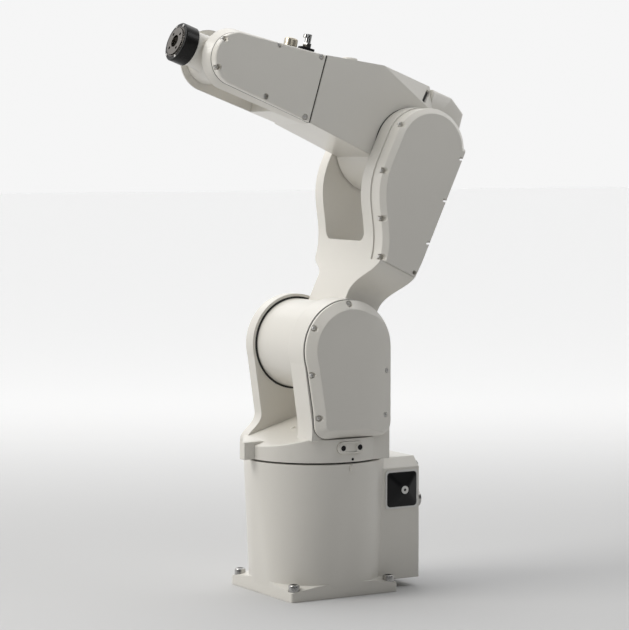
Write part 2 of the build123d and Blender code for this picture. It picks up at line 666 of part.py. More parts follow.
with BuildPart() as rear_cover:
    with BuildSketch(side_plane(REAR_COVER_HALF_WIDTH, AXIS3, FOREARM_PITCH)) as rear_side:
        with BuildLine():
            Polyline(
                (-HOUSING_SPLIT - SEAM_GAP, REAR_COVER_TOP),
                (-HOUSING_SPLIT - SEAM_GAP, REAR_COVER_BOTTOM),
                (-REAR_COVER_REAR + REAR_COVER_HEEL, REAR_COVER_BOTTOM),
                (-REAR_COVER_REAR, REAR_COVER_BOTTOM + 2 * REAR_COVER_HEEL),
                (-REAR_COVER_REAR, REAR_COVER_TOP - REAR_COVER_HEEL - REAR_COVER_ROUND),
                (-REAR_COVER_REAR + 2 * REAR_COVER_HEEL, REAR_COVER_TOP - REAR_COVER_ROUND / 2),
                close=True,
            )
        make_face()
        fillet(rear_side.vertices().sort_by(Axis.X)[:4], REAR_COVER_ROUND)
        Circle(ELBOW_BARREL_RADIUS + SEAM_GAP, mode=Mode.SUBTRACT)
    extrude(amount=2 * REAR_COVER_HALF_WIDTH)
finish(rear_cover.part, "rear_cover")

# Forearm: a casting that turns on axis 4, forked for the wrist, with a cover on each side
AXIS4 = place(AXIS3, FOREARM_PITCH, 0, AXIS4_OFFSET)
with BuildPart() as axis_4_seal:
    with BuildSketch(across_plane(HOUSING_FRONT, AXIS4, FOREARM_PITCH)):
        Circle(AXIS4_SEAL_RADIUS)
    extrude(amount=FOREARM_BACK - HOUSING_FRONT - RUNNING_GAP)
finish(axis_4_seal.part, "axis_4_seal")


def cheek_outline(inset, back_inset):
    """The forearm's side view in its own frame, drawn in by one amount ahead and one behind."""
    radius = CHEEK_RADIUS - inset
    centre, height = CHEEK_CENTRE
    with BuildSketch() as outline:
        with BuildLine():
            Polyline(
                (centre, height - radius),
                (FOREARM_BACK, FOREARM_BOTTOM_AT_BACK + back_inset),
                (FOREARM_BACK, FOREARM_TOP_AT_BACK - back_inset),
                (centre, height + radius),
            )
            ThreePointArc((centre, height + radius), (centre + radius, height), (centre, height - radius))
        make_face()
    return outline.sketch


with BuildPart() as forearm_casting:
    with BuildSketch(side_plane(FOREARM_NEAR_FLANK, AXIS3, FOREARM_PITCH)):
        add(cheek_outline(0, 0))
    extrude(amount=FOREARM_NEAR_FLANK + FOREARM_FAR_FLANK)
    with BuildSketch(side_plane(FOREARM_NEAR_SEAM, AXIS3, FOREARM_PITCH)):
        add(cheek_outline(CHEEK_ROUNDING, CHEEK_BACK_ROUNDING))
    with BuildSketch(side_plane(FOREARM_NEAR_FLANK, AXIS3, FOREARM_PITCH)):
        add(cheek_outline(0, 0))
    loft()
    with BuildSketch(side_plane(-FOREARM_FAR_FLANK, AXIS3, FOREARM_PITCH)):
        add(cheek_outline(0, 0))
    with BuildSketch(side_plane(-FOREARM_FAR_SEAM, AXIS3, FOREARM_PITCH)):
        add(cheek_outline(CHEEK_ROUNDING, CHEEK_BACK_ROUNDING))
    loft()
    with BuildSketch(side_plane(SLOT_HALF_WIDTH, AXIS3, FOREARM_PITCH)):
        with Locations((SLOT_END + AXIS3_TO_AXIS5 / 2, AXIS4_OFFSET)):
            Rectangle(AXIS3_TO_AXIS5, 4 * CHEEK_RADIUS)
    extrude(amount=2 * SLOT_HALF_WIDTH, mode=Mode.SUBTRACT)
finish(forearm_casting.part, "forearm_casting")

NEAR_COVER_FACE = plane_through(
    in_forearm(FOREARM_BACK, FOREARM_COVER_OUTER_AT_BACK, 0),
    in_forearm(FOREARM_BACK, FOREARM_COVER_OUTER_AT_BACK, AXIS4_OFFSET),
    in_forearm(CHEEK_CENTRE[0] + CHEEK_RADIUS, FOREARM_COVER_OUTER, 0),
)
with BuildPart() as forearm_cover:
    with BuildSketch(side_plane(FOREARM_COVER_OUTER, AXIS3, FOREARM_PITCH)):
        add(cheek_outline(CHEEK_ROUNDING + SEAM_GAP, CHEEK_BACK_ROUNDING + SEAM_GAP))
    extrude(amount=FOREARM_COVER_OUTER - FOREARM_NEAR_SEAM - SEAM_GAP)
    split(bisect_by=NEAR_COVER_FACE, keep=Keep.BOTTOM if NEAR_COVER_FACE.z_dir.Y > 0 else Keep.TOP)
    cover_rim = forearm_cover.faces().sort_by(Axis.Y)[-1].edges()
    chamfer(cover_rim, FOREARM_COVER_BEVEL)
finish(forearm_cover.part, "forearm_cover")

with BuildPart() as forearm_cover_far:
    with BuildSketch(side_plane(-FOREARM_FAR_SEAM - SEAM_GAP, AXIS3, FOREARM_PITCH)):
        add(cheek_outline(CHEEK_ROUNDING + SEAM_GAP, CHEEK_BACK_ROUNDING + SEAM_GAP))
    extrude(amount=FOREARM_FAR_OUTER - FOREARM_FAR_SEAM - SEAM_GAP)
    chamfer(forearm_cover_far.faces().sort_by(Axis.Y)[0].edges(), FOREARM_COVER_BEVEL)
finish(forearm_cover_far.part, "forearm_cover_far")


def top_height(along):
    """The height of the forearm's sloping top above axis 3."""
    fall = (FOREARM_TOP_AT_BACK - CHEEK_CENTRE[1] - CHEEK_RADIUS) / (CHEEK_CENTRE[0] - FOREARM_BACK)
    return FOREARM_TOP_AT_BACK - (along - FOREARM_BACK) * fall


def top_plane(along, y, lift=0.0):
    """A plane that lies on the forearm's top at one place, facing out of it."""
    back = in_forearm(FOREARM_BACK, y, FOREARM_TOP_AT_BACK)
    front = in_forearm(CHEEK_CENTRE[0], y, CHEEK_CENTRE[1] + CHEEK_RADIUS)
    along_top = (front - back).normalized()
    upward = along_top.cross(Vector(0, 1, 0))
    origin = in_forearm(along, y, top_height(along)) + upward * lift
    return Plane(origin=origin, x_dir=along_top, z_dir=upward)


with BuildPart() as top_cap:
    with BuildSketch(top_plane(TOP_CAP_PLACE[0], TOP_CAP_PLACE[1])):
        Circle(TOP_CAP_RADIUS)
    extrude(amount=TOP_CAP_HEIGHT)
    fillet(top_cap.faces().sort_by(Axis.Z)[-1].edges(), TOP_CAP_HEIGHT / 4)
finish(top_cap.part, "top_cap")

with BuildPart() as fitting_base:
    with BuildSketch(top_plane(FITTING_PLACE[0], FITTING_PLACE[1])):
        RectangleRounded(FITTING_BASE[0], FITTING_BASE[1], FITTING_BASE[2])
    extrude(amount=FITTING_BASE[2])
finish(fitting_base.part, "fitting_base")

with BuildPart() as air_fitting:
    with BuildSketch(top_plane(FITTING_PLACE[0], FITTING_PLACE[1], FITTING_BASE[2])):
        RegularPolygon(FITTING_COLLAR_RADIUS, 6)
    extrude(amount=FITTING_HEIGHT / 3)
    with BuildSketch(top_plane(FITTING_PLACE[0], FITTING_PLACE[1], FITTING_BASE[2])):
        Circle(FITTING_RADIUS)
    extrude(amount=FITTING_HEIGHT)
finish(air_fitting.part, "air_fitting")

# Wrist: a barrel on axis 5 with a neck, the ring in front of it and the turning disc
with BuildPart() as wrist_body:
    with BuildSketch(side_plane(SLOT_HALF_WIDTH - RUNNING_GAP, AXIS5)):
        Circle(WRIST_BARREL_RADIUS)
    extrude(amount=2 * (SLOT_HALF_WIDTH - RUNNING_GAP))
    with BuildSketch(across_plane(0, AXIS5, HAND_PITCH)):
        Circle(NECK_ROOT_RADIUS)
    with BuildSketch(across_plane(RING_REAR, AXIS5, HAND_PITCH)):
        Circle(NECK_RADIUS)
    loft()
finish(wrist_body.part, "wrist_body")

with BuildPart() as flange_ring:
    with BuildSketch(across_plane(RING_REAR, AXIS5, HAND_PITCH)):
        Circle(RING_RADIUS)
    extrude(amount=RING_FRONT - RING_REAR)
    chamfer(flange_ring.edges().group_by(Axis.X)[-1], RING_CHAMFER)
    with BuildSketch(across_plane(DISC_REAR - RUNNING_GAP, AXIS5, HAND_PITCH)):
        Circle(DISC_RADIUS + RUNNING_GAP)
    extrude(amount=RING_FRONT - DISC_REAR + RUNNING_GAP, mode=Mode.SUBTRACT)
finish(flange_ring.part, "flange_ring")

FLANGE_FACE = across_plane(AXIS5_TO_FLANGE, AXIS5, HAND_PITCH)
with BuildPart() as tool_flange:
    with BuildSketch(across_plane(DISC_REAR, AXIS5, HAND_PITCH)):
        Circle(DISC_RADIUS)
    extrude(amount=AXIS5_TO_FLANGE - DISC_REAR)
    with BuildSketch(FLANGE_FACE):
        Circle(FLANGE_BORE / 2)
    extrude(amount=-FLANGE_BORE_DEPTH, mode=Mode.SUBTRACT)
    with BuildSketch(FLANGE_FACE):
        with PolarLocations(FLANGE_PCD / 2, 4, start_angle=45):
            Circle(FLANGE_THREAD / 2)
    extrude(amount=-FLANGE_HOLE_DEPTH, mode=Mode.SUBTRACT)
finish(tool_flange.part, "tool_flange")
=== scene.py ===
"""A six-axis industrial robot arm: finishes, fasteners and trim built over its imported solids."""

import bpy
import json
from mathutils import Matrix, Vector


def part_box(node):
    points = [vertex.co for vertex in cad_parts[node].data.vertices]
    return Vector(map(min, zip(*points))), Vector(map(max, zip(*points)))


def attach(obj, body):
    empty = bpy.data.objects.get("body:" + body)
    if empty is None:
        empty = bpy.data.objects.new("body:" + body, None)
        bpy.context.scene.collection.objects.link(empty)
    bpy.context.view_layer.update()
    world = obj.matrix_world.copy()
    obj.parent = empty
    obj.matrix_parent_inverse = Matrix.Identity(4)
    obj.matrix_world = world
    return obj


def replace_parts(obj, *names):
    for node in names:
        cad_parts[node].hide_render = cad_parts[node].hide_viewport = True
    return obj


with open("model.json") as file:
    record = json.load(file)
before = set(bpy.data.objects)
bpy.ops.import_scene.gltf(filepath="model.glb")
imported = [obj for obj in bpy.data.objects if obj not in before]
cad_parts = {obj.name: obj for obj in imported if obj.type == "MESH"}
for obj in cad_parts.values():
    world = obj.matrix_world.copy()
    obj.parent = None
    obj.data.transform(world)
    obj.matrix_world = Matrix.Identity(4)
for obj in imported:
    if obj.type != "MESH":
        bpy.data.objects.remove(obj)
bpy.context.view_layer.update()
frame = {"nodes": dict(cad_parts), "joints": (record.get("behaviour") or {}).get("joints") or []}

import json
import logging
import math
from dataclasses import dataclass
from enum import Enum
from typing import Iterable, Sequence

import bmesh
import bpy
from mathutils import Matrix, Vector

log = logging.getLogger("robot_arm")

# Camera of the photograph: focal length in pixels, place in metres, and its heading
IMAGE_WIDTH = 629
FOCAL_PIXELS = 2400.0
SENSOR_WIDTH = 36.0
CAMERA_PLACE = Vector((1.9857, 3.3481, 0.7227))
CAMERA_YAW = 0.5357
CAMERA_PITCH = 0.0705

NEAR = Vector((0.0, 1.0, 0.0))
FAR = Vector((0.0, -1.0, 0.0))
UP = Vector((0.0, 0.0, 1.0))
BACK = Vector((-1.0, 0.0, 0.0))
MILLIMETRE = 0.001

# Sides of round pieces, steps of a rounded rim, and the distance under which loose corners merge
HEAD_SIDES = 28
ROUND_SIDES = 40
RING_SIDES = 96
RIM_STEPS = 3
MERGE_DISTANCE = 2e-6


class Surface(Enum):
    """How a finish breaks up the light."""

    PAINT = "sprayed paint over a casting"
    MOULDED = "fine moulded plastic"
    RUBBER = "dull rubber"
    METAL = "turned or plated metal"


class Signal:
    """A value on a socket, which Python's operators turn into Math nodes."""

    def __init__(self, graph: "Graph", socket: bpy.types.NodeSocket) -> None:
        """Wraps a socket of a graph."""
        self.graph = graph
        self.socket = socket

    def _join(self, operation: str, other: "Signal | float") -> "Signal":
        """Adds one Math node and returns its result."""
        return self.graph.signal("ShaderNodeMath", {"operation": operation}, {0: self, 1: other})

    def __add__(self, other: "Signal | float") -> "Signal":
        """Adds."""
        return self._join("ADD", other)

    def __radd__(self, other: float) -> "Signal":
        """Adds, the number first."""
        return self._join("ADD", other)

    def __mul__(self, other: "Signal | float") -> "Signal":
        """Multiplies."""
        return self._join("MULTIPLY", other)

    def __rmul__(self, other: float) -> "Signal":
        """Multiplies, the number first."""
        return self._join("MULTIPLY", other)


class Graph:
    """The node tree of one material or of the surround."""

    def __init__(self, owner: "bpy.types.Material | bpy.types.World") -> None:
        """Empties the owner's node tree.

        Args:
            owner: The material or the world that the nodes belong to.
        """
        owner.use_nodes = True
        self.owner = owner
        self.tree = owner.node_tree
        self.tree.nodes.clear()

    def node(self, kind: str, settings: dict, inputs: dict) -> bpy.types.Node:
        """Adds one node.

        Args:
            kind: The node's type.
            settings: Its properties, which are set first.
            inputs: Values or signals by socket name or number.

        Returns:
            The node.
        """
        made = self.tree.nodes.new(kind)
        for key, value in settings.items():
            setattr(made, key, value)
        for key, value in inputs.items():
            if isinstance(value, Signal):
                self.tree.links.new(value.socket, made.inputs[key])
            else:
                made.inputs[key].default_value = value
        return made

    def signal(self, kind: str, settings: dict, inputs: dict, output: int | str = 0) -> Signal:
        """Adds one node and returns the chosen output."""
        return Signal(self, self.node(kind, settings, inputs).outputs[output])


@dataclass(frozen=True)
class Finish:
    """One finish of the arm, with its colours and grain at true scale."""

    name: str
    slot: str
    surface: Surface
    colour: tuple[float, float, float]
    second: tuple[float, float, float]
    roughness: float
    metallic: float = 0.0
    edge_radius: float = 0.0
    grain_per_metre: float = 900.0
    grain_depth: float = 0.00002
    coat: float = 0.0
    specular: float = 0.5
    cloud_per_metre: float = 7.0
    cloud_share: float = 0.7
    roughness_spread: float = 0.06
    coat_roughness: float = 0.12
    grain_strength: float = 0.5
    metal_stretch: float = 6.0

    def make(self) -> bpy.types.Material:
        """Builds the material.

        Returns:
            The finished material.
        """
        graph = Graph(bpy.data.materials.new(self.name))
        place = graph.signal("ShaderNodeTexCoord", {}, {}, "Object")
        if self.surface is Surface.METAL:
            stretch = (1.0, 1.0, self.metal_stretch)
            place = graph.signal("ShaderNodeMapping", {}, {"Vector": place, "Scale": stretch})
        cloud = self.noise(graph, place, self.cloud_per_metre, detail=3.0, roughness=0.55)
        fine = self.noise(graph, place, self.grain_per_metre, detail=2.0, roughness=0.5)
        blend = cloud * self.cloud_share + fine * (1.0 - self.cloud_share)
        colours = {6: (*self.colour, 1.0), 7: (*self.second, 1.0)}
        shade = graph.signal("ShaderNodeMix", {"data_type": "RGBA"}, {0: blend, **colours}, 2)
        spread = self.roughness_spread
        rough = self.roughness - spread + cloud * spread + fine * spread
        grain = {"Strength": self.grain_strength, "Distance": self.grain_depth, "Height": fine}
        if self.edge_radius:
            grain["Normal"] = graph.signal("ShaderNodeBevel", {"samples": 6}, {"Radius": self.edge_radius})
        looks = {
            "Base Color": shade,
            "Roughness": rough,
            "Metallic": self.metallic,
            "Coat Weight": self.coat,
            "Coat Roughness": self.coat_roughness,
            "Specular IOR Level": self.specular,
            "Normal": graph.signal("ShaderNodeBump", {}, grain),
        }
        shader = graph.signal("ShaderNodeBsdfPrincipled", {}, looks)
        graph.node("ShaderNodeOutputMaterial", {}, {"Surface": shader})
        return graph.owner

    @staticmethod
    def noise(graph: Graph, place: Signal, scale: float, detail: float, roughness: float) -> Signal:
        """Adds one noise pattern.

        Args:
            graph: The graph it goes into.
            place: The coordinates it follows.
            scale: How many of its blotches lie on a metre.
            detail: Its detail.
            roughness: Its roughness.

        Returns:
            The pattern's strength.
        """
        inputs = {"Vector": place, "Scale": scale, "Detail": detail, "Roughness": roughness}
        return graph.signal("ShaderNodeTexNoise", {}, inputs)


PAINT = Finish(
    "warm_white_paint", "paint_white", Surface.PAINT, (0.79, 0.765, 0.705), (0.755, 0.73, 0.675), 0.36,
    edge_radius=0.0024, grain_per_metre=650.0, grain_depth=0.00004, coat=0.25,
)
# Black rubber of the real seals; the same finish also paints seam shade: the black strips along cover seams
# and in front of axis 4 stand in for the shadow in those seams.
BLACK_SEAL_AND_SEAM_SHADE = Finish(
    "black_seal_and_seam_shade", "seal_black", Surface.RUBBER, (0.012, 0.012, 0.013), (0.025, 0.024, 0.023), 0.62,
    grain_per_metre=1500.0,
)
PANEL = Finish(
    "grey_panel", "panel_grey", Surface.PAINT, (0.30, 0.30, 0.305), (0.26, 0.26, 0.265), 0.42,
    edge_radius=0.0008, grain_per_metre=900.0, grain_depth=0.00003,
)
CONNECTOR = Finish(
    "nickel_shell", "connector_metal", Surface.METAL, (0.55, 0.54, 0.52), (0.42, 0.41, 0.40), 0.34,
    metallic=1.0, edge_radius=0.0006, grain_per_metre=1400.0,
)
# Black moulded plastic of the button, plugs, inserts, pointer and fitting; the same finish also paints the
# shade in the housing's slot and in the air ports' mouths.
BLACK_PLASTIC_AND_HOLE_SHADE = Finish(
    "black_plastic", "black_plastic", Surface.MOULDED, (0.006, 0.006, 0.007), (0.013, 0.013, 0.014), 0.30,
    edge_radius=0.001, grain_per_metre=1800.0, grain_depth=0.00002, specular=0.22,
)
WHITE_PLASTIC = Finish(
    "white_plastic", "white_plastic", Surface.MOULDED, (0.78, 0.77, 0.75), (0.74, 0.73, 0.71), 0.30,
    edge_radius=0.0006, grain_per_metre=1800.0,
)
BLACK_RING = Finish(
    "black_anodised", "ring_black", Surface.METAL, (0.005, 0.005, 0.005), (0.013, 0.012, 0.011), 0.24,
    edge_radius=0.0007, grain_per_metre=1600.0, specular=0.24,
)
STEEL = Finish(
    "zinc_steel", "steel", Surface.METAL, (0.56, 0.555, 0.54), (0.38, 0.375, 0.365), 0.27,
    metallic=1.0, edge_radius=0.0003, grain_per_metre=1500.0, grain_depth=0.00003,
)
SCREW_ZINC = Finish(
    "screw_zinc", "steel", Surface.METAL, (0.80, 0.79, 0.77), (0.64, 0.63, 0.61), 0.30,
    metallic=0.45, edge_radius=0.0003, grain_per_metre=1500.0, grain_depth=0.00003,
)
DARK_STEEL = Finish(
    "dark_steel", "steel", Surface.METAL, (0.27, 0.25, 0.23), (0.13, 0.12, 0.11), 0.26,
    metallic=1.0, edge_radius=0.0003, grain_per_metre=1500.0, grain_depth=0.00003,
)
CHAMPAGNE = Finish(
    "champagne_cap", "steel", Surface.METAL, (0.62, 0.56, 0.45), (0.52, 0.47, 0.38), 0.30,
    metallic=0.9, edge_radius=0.0008, grain_per_metre=1500.0,
)
CHROME = Finish(
    "bright_fitting", "connector_metal", Surface.METAL, (0.34, 0.335, 0.33), (0.20, 0.20, 0.195), 0.16,
    metallic=1.0, edge_radius=0.0005, grain_per_metre=1500.0,
)


class Paintshop:
    """Makes each finish once and hands it out."""

    def __init__(self) -> None:
        """Starts with no finish made."""
        self.made: dict[str, bpy.types.Material] = {}

    def get(self, finish: Finish) -> bpy.types.Material:
        """Finds the material of a finish, made on its first use.

        Args:
            finish: The finish.

        Returns:
            Its material.
        """
        if finish.name not in self.made:
            self.made[finish.name] = finish.make()
        return self.made[finish.name]

    def coat_nodes(self, finishes: dict[str, Finish]) -> None:
        """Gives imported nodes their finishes.

        Args:
            finishes: Each node's finish by the node's name.
        """
        for node, finish in finishes.items():
            mesh = frame["nodes"][node].data
            material = self.get(finish)
            if not mesh.materials:
                mesh.materials.append(material)
            for index in range(len(mesh.materials)):
                mesh.materials[index] = material

    def coat(self, piece: bpy.types.Object, finish: Finish) -> None:
        """Gives a new piece its finish.

        Args:
            piece: The new piece.
            finish: Its finish.
        """
        piece.data.materials.clear()
        piece.data.materials.append(self.get(finish))


SHOP = Paintshop()


class Bench:
    """Modelling moves that every sub-assembly shares."""

    @staticmethod
    def hold(piece: bpy.types.Object) -> None:
        """Makes one piece the only one selected.

        Args:
            piece: The piece.
        """
        bpy.ops.object.select_all(action="DESELECT")
        piece.select_set(True)
        bpy.context.view_layer.objects.active = piece

    @staticmethod
    def settle(piece: bpy.types.Object) -> None:
        """Moves a piece's place into its mesh."""
        Bench.hold(piece)
        bpy.ops.object.transform_apply(location=True, rotation=True, scale=True)

    @staticmethod
    def copy_of_node(node: str, name: str) -> bpy.types.Object:
        """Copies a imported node's mesh as a closed one that can be cut.

        Args:
            node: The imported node.
            name: The new piece's name.

        Returns:
            The new piece.
        """
        piece = bpy.data.objects.new(name, frame["nodes"][node].data.copy())
        bpy.context.scene.collection.objects.link(piece)
        Bench.hold(piece)
        piece.data.materials.clear()
        bpy.ops.object.mode_set(mode="EDIT")
        bpy.ops.mesh.select_all(action="SELECT")
        bpy.ops.mesh.customdata_custom_splitnormals_clear()
        bpy.ops.mesh.remove_doubles(threshold=MERGE_DISTANCE)
        bpy.ops.mesh.normals_make_consistent(inside=False)
        bpy.ops.object.mode_set(mode="OBJECT")
        return piece

    @staticmethod
    def smooth(piece: bpy.types.Object, angle: float = 32.0) -> None:
        """Shades a piece smooth up to an angle in degrees."""
        Bench.hold(piece)
        bpy.ops.object.shade_smooth_by_angle(angle=math.radians(angle))

    @staticmethod
    def cut(piece: bpy.types.Object, cutter: bpy.types.Object) -> None:
        """Takes one shape out of another and removes the cutter.

        Args:
            piece: The piece to cut.
            cutter: The shape that is taken out of it.
        """
        Bench.hold(piece)
        cutting = piece.modifiers.new("cut", "BOOLEAN")
        cutting.operation = "DIFFERENCE"
        cutting.solver = "EXACT"
        cutting.object = cutter
        bpy.ops.object.modifier_apply(modifier=cutting.name)
        bpy.data.objects.remove(cutter)

    @staticmethod
    def slice(piece: bpy.types.Object, place: Vector, facing: Vector) -> None:
        """Cuts away what lies in front of a plane and closes the cut.

        Args:
            piece: The piece to cut.
            place: A point of the plane.
            facing: The way the plane faces.
        """
        Bench.hold(piece)
        bpy.ops.object.mode_set(mode="EDIT")
        bpy.ops.mesh.select_all(action="SELECT")
        bpy.ops.mesh.bisect(plane_co=place, plane_no=facing, clear_outer=True, use_fill=True)
        bpy.ops.mesh.select_all(action="SELECT")
        bpy.ops.mesh.normals_make_consistent(inside=False)
        bpy.ops.object.mode_set(mode="OBJECT")

    @staticmethod
    def turned_rod(
        name: str, start: Vector, end: Vector, radius: float, sides: int = 32, rim: float = 0.0
    ) -> bpy.types.Object:
        """Models a rod between two points, with its far rim rounded.

        Args:
            name: The piece's name.
            start: The centre of its near end.
            end: The centre of its far end.
            radius: Its radius.
            sides: How many flats stand for its round.
            rim: The rounding of its far rim.

        Returns:
            The rod, with its place in its mesh.
        """
        run = end - start
        bpy.ops.object.select_all(action="DESELECT")
        bpy.ops.mesh.primitive_cylinder_add(vertices=sides, radius=radius, depth=run.length)
        piece = bpy.context.object
        piece.name = name
        if rim:
            bpy.ops.object.mode_set(mode="EDIT")
            bpy.ops.mesh.select_all(action="DESELECT")
            bpy.ops.mesh.select_mode(type="EDGE")
            mesh = bmesh.from_edit_mesh(piece.data)
            for edge in mesh.edges:
                edge.select = all(vertex.co.z > 0 for vertex in edge.verts)
            bmesh.update_edit_mesh(piece.data)
            bpy.ops.mesh.bevel(offset=rim, segments=RIM_STEPS)
            bpy.ops.object.mode_set(mode="OBJECT")
        turn = UP.rotation_difference(run).to_matrix().to_4x4()
        piece.matrix_world = Matrix.Translation((start + end) / 2) @ turn
        Bench.settle(piece)
        return piece

    @staticmethod
    def washer(
        name: str, start: Vector, end: Vector, inner: float, outer: float, rim: float = 0.0002
    ) -> bpy.types.Object:
        """Models a flat ring between two points of its axis.

        Args:
            name: The piece's name.
            start: The centre of its near face.
            end: The centre of its far face.
            inner: The radius of its hole.
            outer: Its outer radius.
            rim: The rounding of its outer rim.

        Returns:
            The ring, with its place in its mesh.
        """
        run = end - start
        ring = Bench.turned_rod(name, start, end, outer, RING_SIDES, rim)
        Bench.cut(ring, Bench.turned_rod("hole", start - run, end + run, inner, RING_SIDES))
        Bench.smooth(ring)
        return ring

    @staticmethod
    def block(name: str, size: Sequence[float], seat: Matrix, rounding: float = 0.0) -> bpy.types.Object:
        """Models a block with rounded edges.

        Args:
            name: The piece's name.
            size: Its three sides.
            seat: Where it lies and how it is turned.
            rounding: The rounding of its edges.

        Returns:
            The block, with its place in its mesh.
        """
        bpy.ops.object.select_all(action="DESELECT")
        bpy.ops.mesh.primitive_cube_add(size=1.0)
        piece = bpy.context.object
        piece.name = name
        piece.scale = size
        Bench.settle(piece)
        if rounding:
            bpy.ops.object.mode_set(mode="EDIT")
            bpy.ops.mesh.select_all(action="SELECT")
            bpy.ops.mesh.bevel(offset=rounding, segments=RIM_STEPS)
            bpy.ops.object.mode_set(mode="OBJECT")
        piece.matrix_world = seat
        Bench.settle(piece)
        return piece

    @staticmethod
    def hand_over(piece: bpy.types.Object, finish: Finish, body: str) -> bpy.types.Object:
        """Paints a piece, seats it on its body and reports it.

        Args:
            piece: The new piece.
            finish: Its finish.
            body: The body that carries it.

        Returns:
            The piece.
        """
        SHOP.coat(piece, finish)
        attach(piece, body)
        log.info("%s on %s", piece.name, body)
        return piece


@dataclass(frozen=True)
class Stud:
    """A short turned piece, such as a plug, a dot, a collar or the floor of a bore."""

    radius: float
    sink: float
    rise: float
    sides: int
    rim: float
    finish: Finish

    def place(self, name: str, centre: Vector, facing: Vector, body: str) -> None:
        """Models the stud, smooths it and hands it over.

        Args:
            name: The piece's name.
            centre: The point it is measured from.
            facing: The way it faces.
            body: The body that carries it.
        """
        start, end = centre - facing * self.sink, centre + facing * self.rise
        piece = Bench.turned_rod(name, start, end, self.radius, self.sides, self.rim)
        Bench.smooth(piece)
        Bench.hand_over(piece, self.finish, body)


@dataclass(frozen=True)
class ArmFrame:
    """A turned frame in the XZ plane: ahead, across (+Y) and above its origin."""

    origin: Vector
    pitch: float

    def ahead(self) -> Vector:
        """The frame's forward direction."""
        return Vector((math.cos(self.pitch), 0.0, math.sin(self.pitch)))

    def above(self) -> Vector:
        """The frame's upward direction."""
        return Vector((-math.sin(self.pitch), 0.0, math.cos(self.pitch)))

    def point(self, ahead: float, across: float, above: float) -> Vector:
        """Turns millimetres in this frame into a point in metres."""
        step = self.ahead() * ahead + self.above() * above + Vector((0.0, across, 0.0))
        return self.origin + step * MILLIMETRE


def joint(name: str) -> dict:
    """Finds a joint's entry in the frame."""
    return next(entry for entry in frame["joints"] if entry["name"] == name)


SHOULDER = Vector(joint("axis_2")["pos_m"])
ELBOW = Vector(joint("axis_3")["pos_m"])
WRIST = Vector(joint("axis_5")["pos_m"])
LINK = ELBOW - SHOULDER
ROLL = Vector(joint("axis_4")["axis"]).normalized()
HAND_AXIS = Vector(joint("axis_6")["axis"]).normalized()
LOWER_ARM = ArmFrame(SHOULDER, math.atan2(LINK.z, LINK.x) - math.pi / 2)
FOREARM = ArmFrame(ELBOW, math.atan2(ROLL.z, ROLL.x))
HAND = ArmFrame(WRIST, math.atan2(HAND_AXIS.z, HAND_AXIS.x))


@dataclass(frozen=True)
class SocketScrew:
    """A socket head screw, modelled once and copied to every place."""

    head_radius: float = 0.0031
    head_height: float = 0.0030
    socket_radius: float = 0.0016
    socket_depth: float = 0.0018
    finish: Finish = SCREW_ZINC

    def head(self, name: str) -> bpy.types.Object:
        """Models the head at the origin, facing up.

        Args:
            name: The piece's name.

        Returns:
            The head with its six-sided socket.
        """
        bottom = UP * (-self.head_height / 4)
        top = UP * self.head_height
        rim = self.head_height / 5
        piece = Bench.turned_rod(name, bottom, top, self.head_radius, HEAD_SIDES, rim)
        floor = top - UP * self.socket_depth
        Bench.cut(piece, Bench.turned_rod("socket", floor, top * 1.5, self.socket_radius, 6))
        Bench.smooth(piece)
        return piece

    def place_all(self, name: str, seats: Iterable[tuple[Vector, Vector]], body: str) -> None:
        """Copies the head to each seat.

        Args:
            name: The pieces' common name.
            seats: Pairs of a seat's centre and the way it faces.
            body: The body that carries them.
        """
        pattern = self.head(name + "_pattern")
        for count, (centre, facing) in enumerate(seats, 1):
            piece = bpy.data.objects.new(f"{name}_{count}", pattern.data.copy())
            bpy.context.scene.collection.objects.link(piece)
            turn = UP.rotation_difference(facing).to_matrix().to_4x4()
            piece.data.transform(Matrix.Translation(centre) @ turn)
            Bench.hand_over(piece, self.finish, body)
        bpy.data.objects.remove(pattern)


@dataclass
class ScrewedCover:
    """A cover with a pocket round each screw and, where it shows, a black strip of painted shade along its
    seam.
    """

    node: str
    body: str
    seam: float
    facing: Vector
    screw_level: float
    places: Sequence[tuple[Vector, float]]
    facets: Sequence[tuple[Vector, Vector]] = ()
    # Depth and growth of the black strip of painted shade along the seam; a depth of 0 lays none.
    seam_shade: float = 0.0013
    seam_shade_lip: float = 0.0003
    pocket_reach: float = 0.06

    def build(self) -> None:
        """Shapes the cover, cuts the pockets, seats the screws and lays the painted seam shade."""
        cover = Bench.copy_of_node(self.node, self.node + "_dressed")
        for place, facing in self.facets:
            Bench.slice(cover, place, facing)
        seats = []
        for place, radius in self.places:
            seat = Vector((place.x, self.screw_level, place.z))
            outside = Vector((place.x, self.seam, place.z)) + self.facing * self.pocket_reach
            Bench.cut(cover, Bench.turned_rod("pocket", seat, outside, radius, ROUND_SIDES))
            seats.append((seat, self.facing))
        Bench.smooth(cover)
        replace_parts(Bench.hand_over(cover, PAINT, self.body), self.node)
        SocketScrew().place_all(self.node + "_screw", seats, self.body)
        if self.seam_shade:
            self.lay_seam_shade()

    def lay_seam_shade(self) -> None:
        """Slices the cover at its seam and grows the slice into a thin black strip, painted shade that stands
        in for the shadow in the seam.
        """
        seam_shade = Bench.copy_of_node(self.node, self.node + "_gasket")
        level = Vector((0.0, self.seam, 0.0)) + self.facing * self.seam_shade
        Bench.slice(seam_shade, level, self.facing)
        bpy.ops.object.mode_set(mode="EDIT")
        bpy.ops.mesh.select_all(action="SELECT")
        bpy.ops.transform.shrink_fatten(value=self.seam_shade_lip)
        bpy.ops.object.mode_set(mode="OBJECT")
        Bench.smooth(seam_shade)
        Bench.hand_over(seam_shade, BLACK_SEAL_AND_SEAM_SHADE, self.body)


